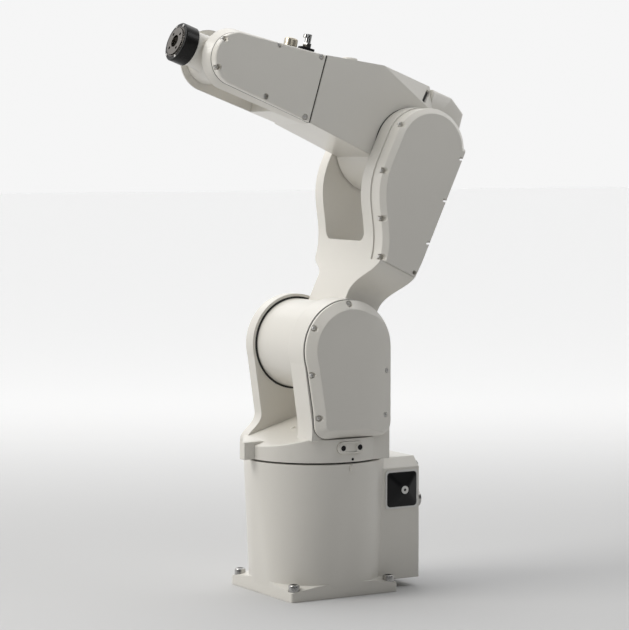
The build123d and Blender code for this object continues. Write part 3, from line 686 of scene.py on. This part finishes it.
@dataclass
class Base:
    """The foot, tower, connector box and release button."""

    bolt: SocketScrew = SocketScrew(0.009, 0.012, 0.0058, 0.007, STEEL)
    bolt_pitch: float = 0.0885
    bolt_seat: float = 0.0125
    washer_height: float = 0.0025
    washer_hole: float = 0.0066
    washer_radius: float = 0.0093
    washer_rim: float = 0.0004
    panel_screw: SocketScrew = SocketScrew(finish=STEEL)
    panel_screw_inset: float = 0.006
    inserts: tuple[tuple[float, float], ...] = ((-0.028, 0.016), (0.028, 0.011))
    insert_sink: float = 0.004
    insert_stand: float = 0.0002
    insert_rim: float = 0.0008
    air_port_count: int = 4
    air_port_inset: float = 0.0065
    # A black disc in each air port's mouth: painted shade of the bore.
    air_port_bore_shade: Stud = Stud(0.0032, 0.003, 0.0, 24, 0.0003, BLACK_PLASTIC_AND_HOLE_SHADE)
    drop_centre: tuple[float, float, float] = (-0.004, 0.1136, 0.2078)
    drop_radius: float = 0.0048
    drop_sink: float = 0.0030
    drop_rise: float = 0.0040
    drop_rim: float = 0.0012
    drop_point: float = 0.0042
    drop_shoulder: float = 0.6

    def build(self) -> None:
        """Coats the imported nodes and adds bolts, panel screws and the alignment mark."""
        SHOP.coat_nodes({
            "base_casting": PAINT,
            "connector_panel": PANEL,
            "rear_connectors": CONNECTOR,
            "air_ports": CONNECTOR,
            "button_frame": WHITE_PLASTIC,
            "brake_button": BLACK_PLASTIC_AND_HOLE_SHADE,
            "button_ring": WHITE_PLASTIC,
        })
        self.foot_bolts()
        self.panel_screws()
        self.connector_inserts()
        self.air_port_bore_shades()
        self.alignment_drop()

    def foot_bolts(self) -> None:
        """Seats a washer and a cap screw in each spotface of the foot."""
        pitch = self.bolt_pitch
        corners = [Vector((x * pitch, y * pitch, self.bolt_seat)) for x in (-1, 1) for y in (-1, 1)]
        lift = UP * self.washer_height
        for count, corner in enumerate(corners, 1):
            sizes = (self.washer_hole, self.washer_radius, self.washer_rim)
            ring = Bench.washer(f"foot_washer_{count}", corner, corner + lift, *sizes)
            Bench.hand_over(ring, STEEL, "base")
        self.bolt.place_all("foot_bolt", [(corner + lift, UP) for corner in corners], "base")

    def panel_screws(self) -> None:
        """Seats three screws down each side of the connector panel."""
        low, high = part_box("connector_panel")
        inset = self.panel_screw_inset
        levels = (low.z + inset, (low.z + high.z) / 2, high.z - inset)
        sides = (low.y + inset, high.y - inset)
        seats = [(Vector((low.x, across, level)), BACK) for across in sides for level in levels]
        self.panel_screw.place_all("panel_screw", seats, "base")

    def connector_inserts(self) -> None:
        """Fills the round connectors with their black inserts."""
        low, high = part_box("rear_connectors")
        height = (low.z + high.z) / 2
        for count, (across, radius) in enumerate(self.inserts, 1):
            mouth = Vector((low.x - self.insert_stand, across, height))
            insert = Stud(radius, self.insert_sink, 0.0, ROUND_SIDES, self.insert_rim, BLACK_PLASTIC_AND_HOLE_SHADE)
            insert.place(f"connector_insert_{count}", mouth, BACK, "base")

    def air_port_bore_shades(self) -> None:
        """Darkens the mouth of each air port with a black disc, painted shade that stands in for the shadow
        in the bore.
        """
        low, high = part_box("air_ports")
        first = low.y + self.air_port_inset
        step = (high.y - self.air_port_inset - first) / (self.air_port_count - 1)
        for count in range(self.air_port_count):
            mouth = Vector((low.x - self.insert_stand, first + step * count, (low.z + high.z) / 2))
            self.air_port_bore_shade.place(f"air_port_bore_shade_{count + 1}", mouth, BACK, "base")

    def alignment_drop(self) -> None:
        """Adds the drop-shaped boss under the turning seam."""
        centre = Vector(self.drop_centre)
        start, end = centre - NEAR * self.drop_sink, centre + NEAR * self.drop_rise
        drop = Bench.turned_rod("alignment_drop", start, end, self.drop_radius, ROUND_SIDES, self.drop_rim)
        bpy.ops.object.mode_set(mode="EDIT")
        bpy.ops.mesh.select_all(action="DESELECT")
        mesh = bmesh.from_edit_mesh(drop.data)
        for vertex in mesh.verts:
            vertex.select = vertex.co.z > centre.z + self.drop_radius * self.drop_shoulder
        bmesh.update_edit_mesh(drop.data)
        bpy.ops.transform.translate(value=UP * self.drop_point)
        bpy.ops.object.mode_set(mode="OBJECT")
        Bench.smooth(drop)
        Bench.hand_over(drop, PAINT, "base")


@dataclass
class Swivel:
    """The drum and ears that turn on axis 1."""

    rear_facet_start: float = -0.032
    rear_facet_angle: float = 15.0
    cover_screw_level: float = 0.110
    wide_pocket: float = 0.0050
    narrow_pocket: float = 0.0040
    front_screws: tuple[tuple[float, float], ...] = ((2, 472), (66, 436), (70, 362), (57, 293))
    rear_screws: tuple[tuple[float, float], ...] = ((-70, 363), (-67, 292))
    ear_face: float = 0.0580
    lip_height: float = 0.00065
    barrel_radius: float = 0.0730
    lip_radius: float = 0.0762
    plate_well: tuple[float, float, float] = (0.0190, 0.0030, 0.0135)
    collar_inset: float = 0.0046
    collar_radius: float = 0.0064
    collar_sink: float = 0.0020
    collar_rise: float = 0.0006
    collar_rim: float = 0.0005
    port_radius: float = 0.0045
    port_depth: float = 0.0008
    port_reach: float = 0.0030
    pointer_place: tuple[float, float, float] = (-0.004, 0.1148, 0.2245)
    pointer: Stud = Stud(0.0024, 0.0020, 0.0012, 24, 0.0008, BLACK_PLASTIC_AND_HOLE_SHADE)
    deck_slope: float = 16.7
    deck_height: float = 0.277
    deck_plug_ahead: float = 0.039
    deck_plug: Stud = Stud(0.0042, 0.0010, 0.0022, 28, 0.0012, PAINT)

    def build(self) -> None:
        """Coats the castings and adds the cover, port plate, pointer and plug."""
        SHOP.coat_nodes({
            "swivel_casting": PAINT,
            "shoulder_cap": PAINT,
            "axis_1_seal": BLACK_SEAL_AND_SEAM_SHADE,
            "port_plugs": BLACK_PLASTIC_AND_HOLE_SHADE,
        })
        self.shoulder_cover()
        self.barrel_seal()
        self.port_plate()
        self.port_collars()
        self.pointer.place("pointer_dot", Vector(self.pointer_place), NEAR, "swivel")
        self.plug_in_deck()

    def shoulder_cover(self) -> None:
        """Builds the near ear's cover, with the facet along its rear."""
        low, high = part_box("shoulder_cover")
        tilt = math.radians(self.rear_facet_angle)
        facing = Vector((-math.sin(tilt), math.cos(tilt), 0.0))
        facet = (Vector((self.rear_facet_start, high.y, 0.0)), facing)
        rows = ((self.front_screws, self.wide_pocket), (self.rear_screws, self.narrow_pocket))
        places = [
            (Vector((ahead, 0.0, height)) * MILLIMETRE, radius)
            for screws, radius in rows
            for ahead, height in screws
        ]
        level = self.cover_screw_level
        ScrewedCover("shoulder_cover", "swivel", low.y, NEAR, level, places, [facet]).build()

    def barrel_seal(self) -> None:
        """Lays the dark lip round the barrel on the far ear's inner face."""
        ear = SHOULDER + FAR * self.ear_face
        face = ear + NEAR * self.lip_height
        lip = Bench.washer("barrel_lip", ear, face, self.barrel_radius, self.lip_radius)
        Bench.hand_over(lip, BLACK_SEAL_AND_SEAM_SHADE, "swivel")

    def port_plate(self) -> None:
        """Sinks the port plate's middle."""
        plate = Bench.copy_of_node("port_plate", "port_plate_dressed")
        low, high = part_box("port_plate")
        face = Vector(((low.x + high.x) / 2, high.y, (low.z + high.z) / 2))
        Bench.cut(plate, Bench.block("well", self.plate_well, Matrix.Translation(face)))
        Bench.smooth(plate)
        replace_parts(Bench.hand_over(plate, PAINT, "swivel"), "port_plate")

    def port_collars(self) -> None:
        """Rings each plug of the port plate with a raised collar."""
        low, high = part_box("port_plugs")
        for count, x in enumerate((low.x + self.collar_inset, high.x - self.collar_inset), 1):
            centre = Vector((x, high.y, (low.z + high.z) / 2))
            start, end = centre - NEAR * self.collar_sink, centre + NEAR * self.collar_rise
            name, radius = f"port_collar_{count}", self.collar_radius
            collar = Bench.turned_rod(name, start, end, radius, ROUND_SIDES, self.collar_rim)
            floor, mouth = centre - NEAR * self.port_depth, centre + NEAR * self.port_reach
            Bench.cut(collar, Bench.turned_rod("bore", floor, mouth, self.port_radius, 32))
            Bench.smooth(collar)
            Bench.hand_over(collar, PAINT, "swivel")

    def plug_in_deck(self) -> None:
        """Seats the plug in the sloping deck."""
        slope = math.radians(self.deck_slope)
        height = self.deck_height - self.deck_plug_ahead * math.tan(slope)
        normal = Vector((math.sin(slope), 0.0, math.cos(slope)))
        self.deck_plug.place("deck_plug", Vector((self.deck_plug_ahead, 0.0, height)), normal, "swivel")


@dataclass
class LowerArm:
    """The forked link between axis 2 and axis 3, with screws as millimetres ahead and along."""

    cover_screw_level: float = 0.1045
    wide_pocket: float = 0.0050
    narrow_pocket: float = 0.0034
    front_screws: tuple[tuple[float, float], ...] = ((64.5, 365), (63, 284), (33, 214), (8, 157.5))
    rear_screws: tuple[tuple[float, float], ...] = ((-54.5, 158.5), (-58, 212), (-58, 287), (-58, 361))
    cap_screws: tuple[tuple[float, float], ...] = ((48, 365), (44, 285), (-42, 372), (-42, 260), (-30, 190))
    cap_screw_sink: float = 0.0004

    def build(self) -> None:
        """Coats the casting, and adds the elbow cover and the far cap's screws."""
        SHOP.coat_nodes({
            "lower_arm_casting": PAINT,
            "elbow_cap": PAINT,
            "shoulder_seals": BLACK_SEAL_AND_SEAM_SHADE,
        })
        rows = ((self.front_screws, self.wide_pocket), (self.rear_screws, self.narrow_pocket))
        places = [
            (LOWER_ARM.point(ahead, 0.0, along), radius)
            for screws, radius in rows
            for ahead, along in screws
        ]
        seam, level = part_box("elbow_cover")[0].y, self.cover_screw_level
        ScrewedCover("elbow_cover", "lower_arm", seam, NEAR, level, places, seam_shade=0.0).build()
        self.seat_cap_screws()

    def seat_cap_screws(self) -> None:
        """Seats the screws of the far elbow cap."""
        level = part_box("elbow_cap")[0].y + self.cap_screw_sink
        points = [LOWER_ARM.point(ahead, 0.0, along) for ahead, along in self.cap_screws]
        seats = [(Vector((point.x, level, point.z)), FAR) for point in points]
        SocketScrew().place_all("elbow_cap_screw", seats, "lower_arm")


@dataclass
class UpperArm:
    """The housing that turns on axis 3, with places in the forearm's frame in millimetres."""

    facet_corners: tuple[tuple[float, float, float], ...] = ((3, 57, 82), (87, 57, 115.5), (0, 35, 115.5))
    slot_place: tuple[float, float, float] = (-11.5, 45.8, 95.0)
    slot_run: tuple[float, float, float] = (-20.7, -25.5, 32.0)
    slot_size: tuple[float, float, float] = (0.0072, 0.0350, 0.0090)
    slot_depth: float = 0.0032
    crest: tuple[float, float] = (87.0, 115.5)
    front: tuple[float, float] = (193.5, 98.5)
    boss_place: tuple[float, float] = (129.0, 18.0)
    boss: Stud = Stud(0.0125, 0.0020, 0.0068, 64, 0.0014, PAINT)
    # Thickness, gap, scale and middle of the black strip of painted shade in the seam in front of axis 4.
    seam_shade_height: float = 0.0022
    seam_shade_gap: float = 0.0001
    seam_shade_scale: float = 0.985
    seam_shade_middle: tuple[float, float] = (194.7, 42.0)
    rear_rims: tuple[tuple[float, float, float, float], ...] = (
        (-1.0, 0.0, -85.0, 60.0),
        (0.0, 1.0, -50.0, 101.0),
        (-0.530, 0.848, -74.3, 91.8),
    )
    rear_rim_across: float = 49.0
    rear_smoothing: float = 55.0

    def build(self) -> None:
        """Dresses the housing, with painted shade in its slot and in the seam in front of axis 4, and adds
        the rear cover and the boss.
        """
        SHOP.coat_nodes({"elbow_seals": BLACK_SEAL_AND_SEAM_SHADE, "axis_4_seal": BLACK_SEAL_AND_SEAM_SHADE})
        self.housing()
        self.joint_seam_shade()
        self.rear_cover()
        self.boss_on_top()

    def slot_seat(self, depth: float) -> Matrix:
        """Finds where the slot lies on the housing's shoulder facet.

        Args:
            depth: How far under the facet.

        Returns:
            The place and turn of a block whose length runs along the slot.
        """
        low, corner, high = (FOREARM.point(*place) for place in self.facet_corners)
        outward = (corner - low).cross(high - low).normalized()
        outward = outward if outward.y > 0 else -outward
        ahead, across, above = self.slot_run
        along = FOREARM.ahead() * ahead + FOREARM.above() * above + NEAR * across
        along = (along - outward * along.dot(outward)).normalized()
        turn = Matrix((along.cross(outward), along, outward)).transposed().to_4x4()
        return Matrix.Translation(FOREARM.point(*self.slot_place) - outward * depth) @ turn

    def housing(self) -> None:
        """Cuts the slot in the housing's shoulder and lays a black floor in it, painted shade that darkens
        the slot.
        """
        housing = Bench.copy_of_node("upper_arm_housing", "upper_arm_dressed")
        width, _, height = self.slot_size
        Bench.cut(housing, Bench.block("slot", self.slot_size, self.slot_seat(0.0), width / 4))
        # Painted shade: a black floor just under the slot's mouth darkens it.
        floor = self.slot_seat(self.slot_depth + height / 2)
        shade_floor = Bench.block("slot_shade_floor", self.slot_size, floor, width / 4)
        Bench.smooth(shade_floor)
        Bench.hand_over(shade_floor, BLACK_PLASTIC_AND_HOLE_SHADE, "upper_arm")
        Bench.smooth(housing)
        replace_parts(Bench.hand_over(housing, PAINT, "upper_arm"), "upper_arm_housing")

    def joint_seam_shade(self) -> None:
        """Fills the seam in front of axis 4 with a black strip cut to the housing's outline, painted shade
        that stands in for the shadow in the seam.
        """
        ahead = FOREARM.ahead()
        face = FOREARM.point(self.front[0], 0.0, 0.0)
        along, above = self.seam_shade_middle
        seam_shade = Bench.copy_of_node("upper_arm_housing", "axis_4_seam_shade")
        Bench.slice(seam_shade, face - ahead * self.seam_shade_height, -ahead)
        Bench.slice(seam_shade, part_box("forearm_cover_far")[0], FAR)
        bpy.ops.object.mode_set(mode="EDIT")
        bpy.ops.mesh.select_all(action="SELECT")
        bpy.ops.transform.translate(value=ahead * (self.seam_shade_height + self.seam_shade_gap))
        size = (self.seam_shade_scale,) * 3
        bpy.ops.transform.resize(value=size, center_override=FOREARM.point(along, 0.0, above))
        bpy.ops.object.mode_set(mode="OBJECT")
        Bench.smooth(seam_shade)
        Bench.hand_over(seam_shade, BLACK_SEAL_AND_SEAM_SHADE, "upper_arm")

    def rear_cover(self) -> None:
        """Softens the rear cover's edges with a broad facet along each.

        A rim is the way it faces, ahead and above, and a point of it, ahead and above.
        """
        cover = Bench.copy_of_node("rear_cover", "rear_cover_dressed")
        for side in (1.0, -1.0):
            for facing_ahead, facing_above, ahead, above in self.rear_rims:
                outward = FOREARM.ahead() * facing_ahead + FOREARM.above() * facing_above
                place = FOREARM.point(ahead, side * self.rear_rim_across, above)
                Bench.slice(cover, place, (outward + NEAR * side).normalized())
        Bench.smooth(cover, self.rear_smoothing)
        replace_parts(Bench.hand_over(cover, PAINT, "upper_arm"), "rear_cover")

    def boss_on_top(self) -> None:
        """Adds the low round boss on the housing's sloping top."""
        (crest_ahead, crest_height), (front_ahead, front_height) = self.crest, self.front
        slope = (crest_height - front_height) / (crest_ahead - front_ahead)
        ahead, across = self.boss_place
        seat = FOREARM.point(ahead, across, front_height + (ahead - front_ahead) * slope)
        normal = (FOREARM.above() - FOREARM.ahead() * slope).normalized()
        self.boss.place("housing_boss", seat, normal, "upper_arm")


@dataclass
class Forearm:
    """The forearm that rolls on axis 4, with screws as millimetres ahead of axis 3 and above it."""

    cover_screws: tuple[tuple[float, float], ...] = (
        (382, 64), (381, 19), (285, 86), (286, 1), (206, 92), (207, -8),
    )
    pocket_radius: float = 0.0047
    near_screw_level: float = 0.0568
    far_screw_level: float = -0.0462
    # Depth of the black strip of painted shade along each forearm cover's seam.
    seam_shade: float = 0.0008
    fitting_setback: float = 0.0012
    collar: Stud = Stud(0.0062, 0.0065, -0.0012, 36, 0.001, CHROME)
    bore: Stud = Stud(0.0030, 0.0040, -0.0006, 24, 0.0003, BLACK_PLASTIC_AND_HOLE_SHADE)

    def build(self) -> None:
        """Coats the casting and builds the covers and fittings."""
        SHOP.coat_nodes({
            "forearm_casting": PAINT,
            "top_cap": CHAMPAGNE,
            "fitting_base": BLACK_PLASTIC_AND_HOLE_SHADE,
            "air_fitting": CHROME,
        })
        points = [FOREARM.point(ahead, 0.0, above) for ahead, above in self.cover_screws]
        places = [(point, self.pocket_radius) for point in points]
        near_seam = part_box("forearm_cover")[0].y
        far_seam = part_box("forearm_cover_far")[1].y
        for node, seam, facing, level in (
            ("forearm_cover", near_seam, NEAR, self.near_screw_level),
            ("forearm_cover_far", far_seam, FAR, self.far_screw_level),
        ):
            ScrewedCover(node, "forearm", seam, facing, level, places, seam_shade=self.seam_shade).build()
        self.fitting_top()

    def fitting_top(self) -> None:
        """Adds the release collar and the bore of the push-in fitting."""
        low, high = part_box("air_fitting")
        middle = Vector(((low.x + high.x) / 2, (low.y + high.y) / 2, high.z))
        top = middle - FOREARM.ahead() * self.fitting_setback
        self.collar.place("release_collar", top, FOREARM.above(), "forearm")
        self.bore.place("fitting_bore", top, FOREARM.above(), "forearm")


@dataclass
class Wrist:
    """The wrist on axis 5 with its black ring and turning disc, in millimetres of the hand's frame."""

    face: float = 79.5
    lips: tuple[tuple[float, float], ...] = ((22.9, 23.7), (24.5, 25.2))
    lip_sink: float = 0.6
    lip_rise: float = 0.7
    screw: SocketScrew = SocketScrew(0.0021, 0.0018, 0.0010, 0.001)
    screw_angles: tuple[float, ...] = (70.0, 118.0, -62.0, -128.0)
    screw_radius: float = 27.6
    screw_sink: float = 0.7

    def build(self) -> None:
        """Coats the wrist and adds the lips and screws of the ring."""
        SHOP.coat_nodes({
            "wrist_body": PAINT,
            "flange_ring": BLACK_RING,
            "tool_flange": DARK_STEEL,
        })
        self.ring_lips()
        self.ring_screws()

    def ring_lips(self) -> None:
        """Raises fine concentric lips on the ring's front face."""
        start = HAND.point(self.face - self.lip_sink, 0.0, 0.0)
        end = HAND.point(self.face + self.lip_rise, 0.0, 0.0)
        for count, (inner, outer) in enumerate(self.lips, 1):
            lip = Bench.washer(f"ring_step_{count}", start, end, inner * MILLIMETRE, outer * MILLIMETRE)
            Bench.hand_over(lip, DARK_STEEL, "wrist")

    def ring_screws(self) -> None:
        """Seats small bright screws round the ring's front face."""
        seats = []
        for angle in map(math.radians, self.screw_angles):
            across, above = self.screw_radius * math.cos(angle), self.screw_radius * math.sin(angle)
            seats.append((HAND.point(self.face - self.screw_sink, across, above), HAND.ahead()))
        self.screw.place_all("ring_screw", seats, "wrist")


@dataclass(frozen=True)
class Softbox:
    """A square area light that faces the arm, in metres and watts."""

    name: str
    place: tuple[float, float, float]
    side: float
    power: float
    tint: tuple[float, float, float]
    aim: tuple[float, float, float] = (0.0, 0.0, 0.5)

    def hang(self) -> None:
        """Hangs the light."""
        light = bpy.data.lights.new(self.name, "AREA")
        light.color = self.tint
        light.size = self.side
        light.energy = self.power
        lamp = bpy.data.objects.new(self.name, light)
        bpy.context.scene.collection.objects.link(lamp)
        lamp.location = self.place
        lamp.rotation_mode = "QUATERNION"
        lamp.rotation_quaternion = (Vector(self.aim) - lamp.location).to_track_quat("-Z", "Y")


@dataclass
class Studio:
    """The floor, the surround, the lights and the camera."""

    softboxes: tuple[Softbox, ...] = (
        Softbox("key", (2.1, -0.4, 2.3), 1.3, 38.0, (1.0, 0.985, 0.955)),
        Softbox("fill", (0.1, 0.8, 1.3), 0.7, 1.55, (0.95, 0.975, 1.0)),
        Softbox("rim", (-1.1, 0.7, 1.7), 0.8, 4.0, (1.0, 1.0, 1.0)),
    )
    floor_size: float = 60.0
    floor_roughness: float = 0.95
    # Painted light on the floor: its grey runs from near_shade to far_shade and its glow up to far_glow,
    # fading in along fade_heading between fade_start and fade_end.
    near_shade: float = 0.56
    far_shade: float = 0.95
    far_glow: float = 0.20
    fade_heading: tuple[float, float, float] = (-0.51, -0.86, 0.0)
    fade_start: float = 0.1
    fade_end: float = 3.0
    dim: float = 0.05
    bright: float = 0.92
    bright_heading: tuple[float, float, float] = (-0.20, -0.98, 0.10)
    bright_start: float = -0.38
    bright_end: float = 0.55
    sky_strength: float = 0.8
    sky_angle: float = 70.0
    sky_heading: tuple[float, float, float] = (0.15, 0.55, -1.0)
    clip_end: float = 100.0

    def build(self) -> None:
        """Sets the stage and the camera."""
        self.floor()
        self.surround()
        for softbox in self.softboxes:
            softbox.hang()
        self.sky()
        self.camera()

    @staticmethod
    def fade(graph: Graph, place: Signal, heading: Sequence[float], reach: tuple[float, float]) -> Signal:
        """Adds a soft step along a heading.

        Args:
            graph: The graph it goes into.
            place: The coordinates it follows.
            heading: The way it runs.
            reach: Where it starts and ends.

        Returns:
            A value that rises from 0 to 1.
        """
        product = {"operation": "DOT_PRODUCT"}
        along = graph.signal("ShaderNodeVectorMath", product, {0: place, 1: heading}, "Value")
        ends = {"Value": along, "From Min": reach[0], "From Max": reach[1]}
        return graph.signal("ShaderNodeMapRange", {"interpolation_type": "SMOOTHSTEP"}, ends)

    @staticmethod
    def grey(graph: Graph, share: Signal, low: float, high: float) -> Signal:
        """Adds a mix of two greys.

        Args:
            graph: The graph it goes into.
            share: The share of the second grey.
            low: The first grey.
            high: The second grey.

        Returns:
            The mixed colour.
        """
        greys = {6: (low, low, low, 1.0), 7: (high, high, high, 1.0)}
        return graph.signal("ShaderNodeMix", {"data_type": "RGBA"}, {0: share, **greys}, 2)

    def floor(self) -> None:
        """Lays a pale floor with painted light: behind the arm it is painted lighter and made to glow,
        standing in for light that the lamps don't bring there.
        """
        bpy.ops.object.select_all(action="DESELECT")
        bpy.ops.mesh.primitive_plane_add(size=self.floor_size, location=(0, 0, 0))
        floor = bpy.context.object
        floor.name = "floor"
        graph = Graph(bpy.data.materials.new("pale_floor"))
        place = graph.signal("ShaderNodeTexCoord", {}, {}, "Object")
        away = self.fade(graph, place, self.fade_heading, (self.fade_start, self.fade_end))
        looks = {
            "Base Color": self.grey(graph, away, self.near_shade, self.far_shade),
            "Roughness": self.floor_roughness,
            "Emission Color": self.grey(graph, away, 0.0, self.far_glow),
            "Emission Strength": 1.0,
        }
        shader = graph.signal("ShaderNodeBsdfPrincipled", {}, looks)
        graph.node("ShaderNodeOutputMaterial", {}, {"Surface": shader})
        floor.data.materials.append(graph.owner)

    def surround(self) -> None:
        """Wraps a pale studio round the arm, bright behind it and dim in front."""
        graph = Graph(bpy.data.worlds.new("surround"))
        heading = graph.signal("ShaderNodeTexCoord", {}, {}, "Generated")
        share = self.fade(graph, heading, self.bright_heading, (self.bright_start, self.bright_end))
        strength = share * (self.bright - self.dim) + self.dim
        white = {"Color": (1.0, 1.0, 1.0, 1.0), "Strength": strength}
        background = graph.signal("ShaderNodeBackground", {}, white)
        graph.node("ShaderNodeOutputWorld", {}, {"Surface": background})
        bpy.context.scene.world = graph.owner

    def sky(self) -> None:
        """Adds even light from above and behind, for the floor and the upper faces."""
        light = bpy.data.lights.new("sky", "SUN")
        light.energy = self.sky_strength
        light.angle = math.radians(self.sky_angle)
        lamp = bpy.data.objects.new("sky", light)
        bpy.context.scene.collection.objects.link(lamp)
        lamp.rotation_mode = "QUATERNION"
        lamp.rotation_quaternion = Vector(self.sky_heading).to_track_quat("-Z", "Y")

    def camera(self) -> None:
        """Sets the camera where the photograph was taken from."""
        data = bpy.data.cameras.new("camera")
        data.sensor_fit = "HORIZONTAL"
        data.sensor_width = SENSOR_WIDTH
        data.lens = FOCAL_PIXELS * SENSOR_WIDTH / IMAGE_WIDTH
        data.clip_end = self.clip_end
        camera = bpy.data.objects.new("camera", data)
        bpy.context.scene.collection.objects.link(camera)
        level = math.cos(CAMERA_PITCH)
        look = Vector((-math.sin(CAMERA_YAW) * level, -math.cos(CAMERA_YAW) * level, -math.sin(CAMERA_PITCH)))
        camera.location = CAMERA_PLACE
        camera.rotation_mode = "QUATERNION"
        camera.rotation_quaternion = look.to_track_quat("-Z", "Y")
        bpy.context.scene.camera = camera
        bpy.context.scene.view_settings.view_transform = "Standard"


def main() -> None:
    """Builds the arm from the floor up, and the studio."""
    logging.basicConfig(level=logging.INFO, format="%(message)s")
    for assembly in (Base(), Swivel(), LowerArm(), UpperArm(), Forearm(), Wrist(), Studio()):
        assembly.build()


if __name__ == "__main__":
    main()
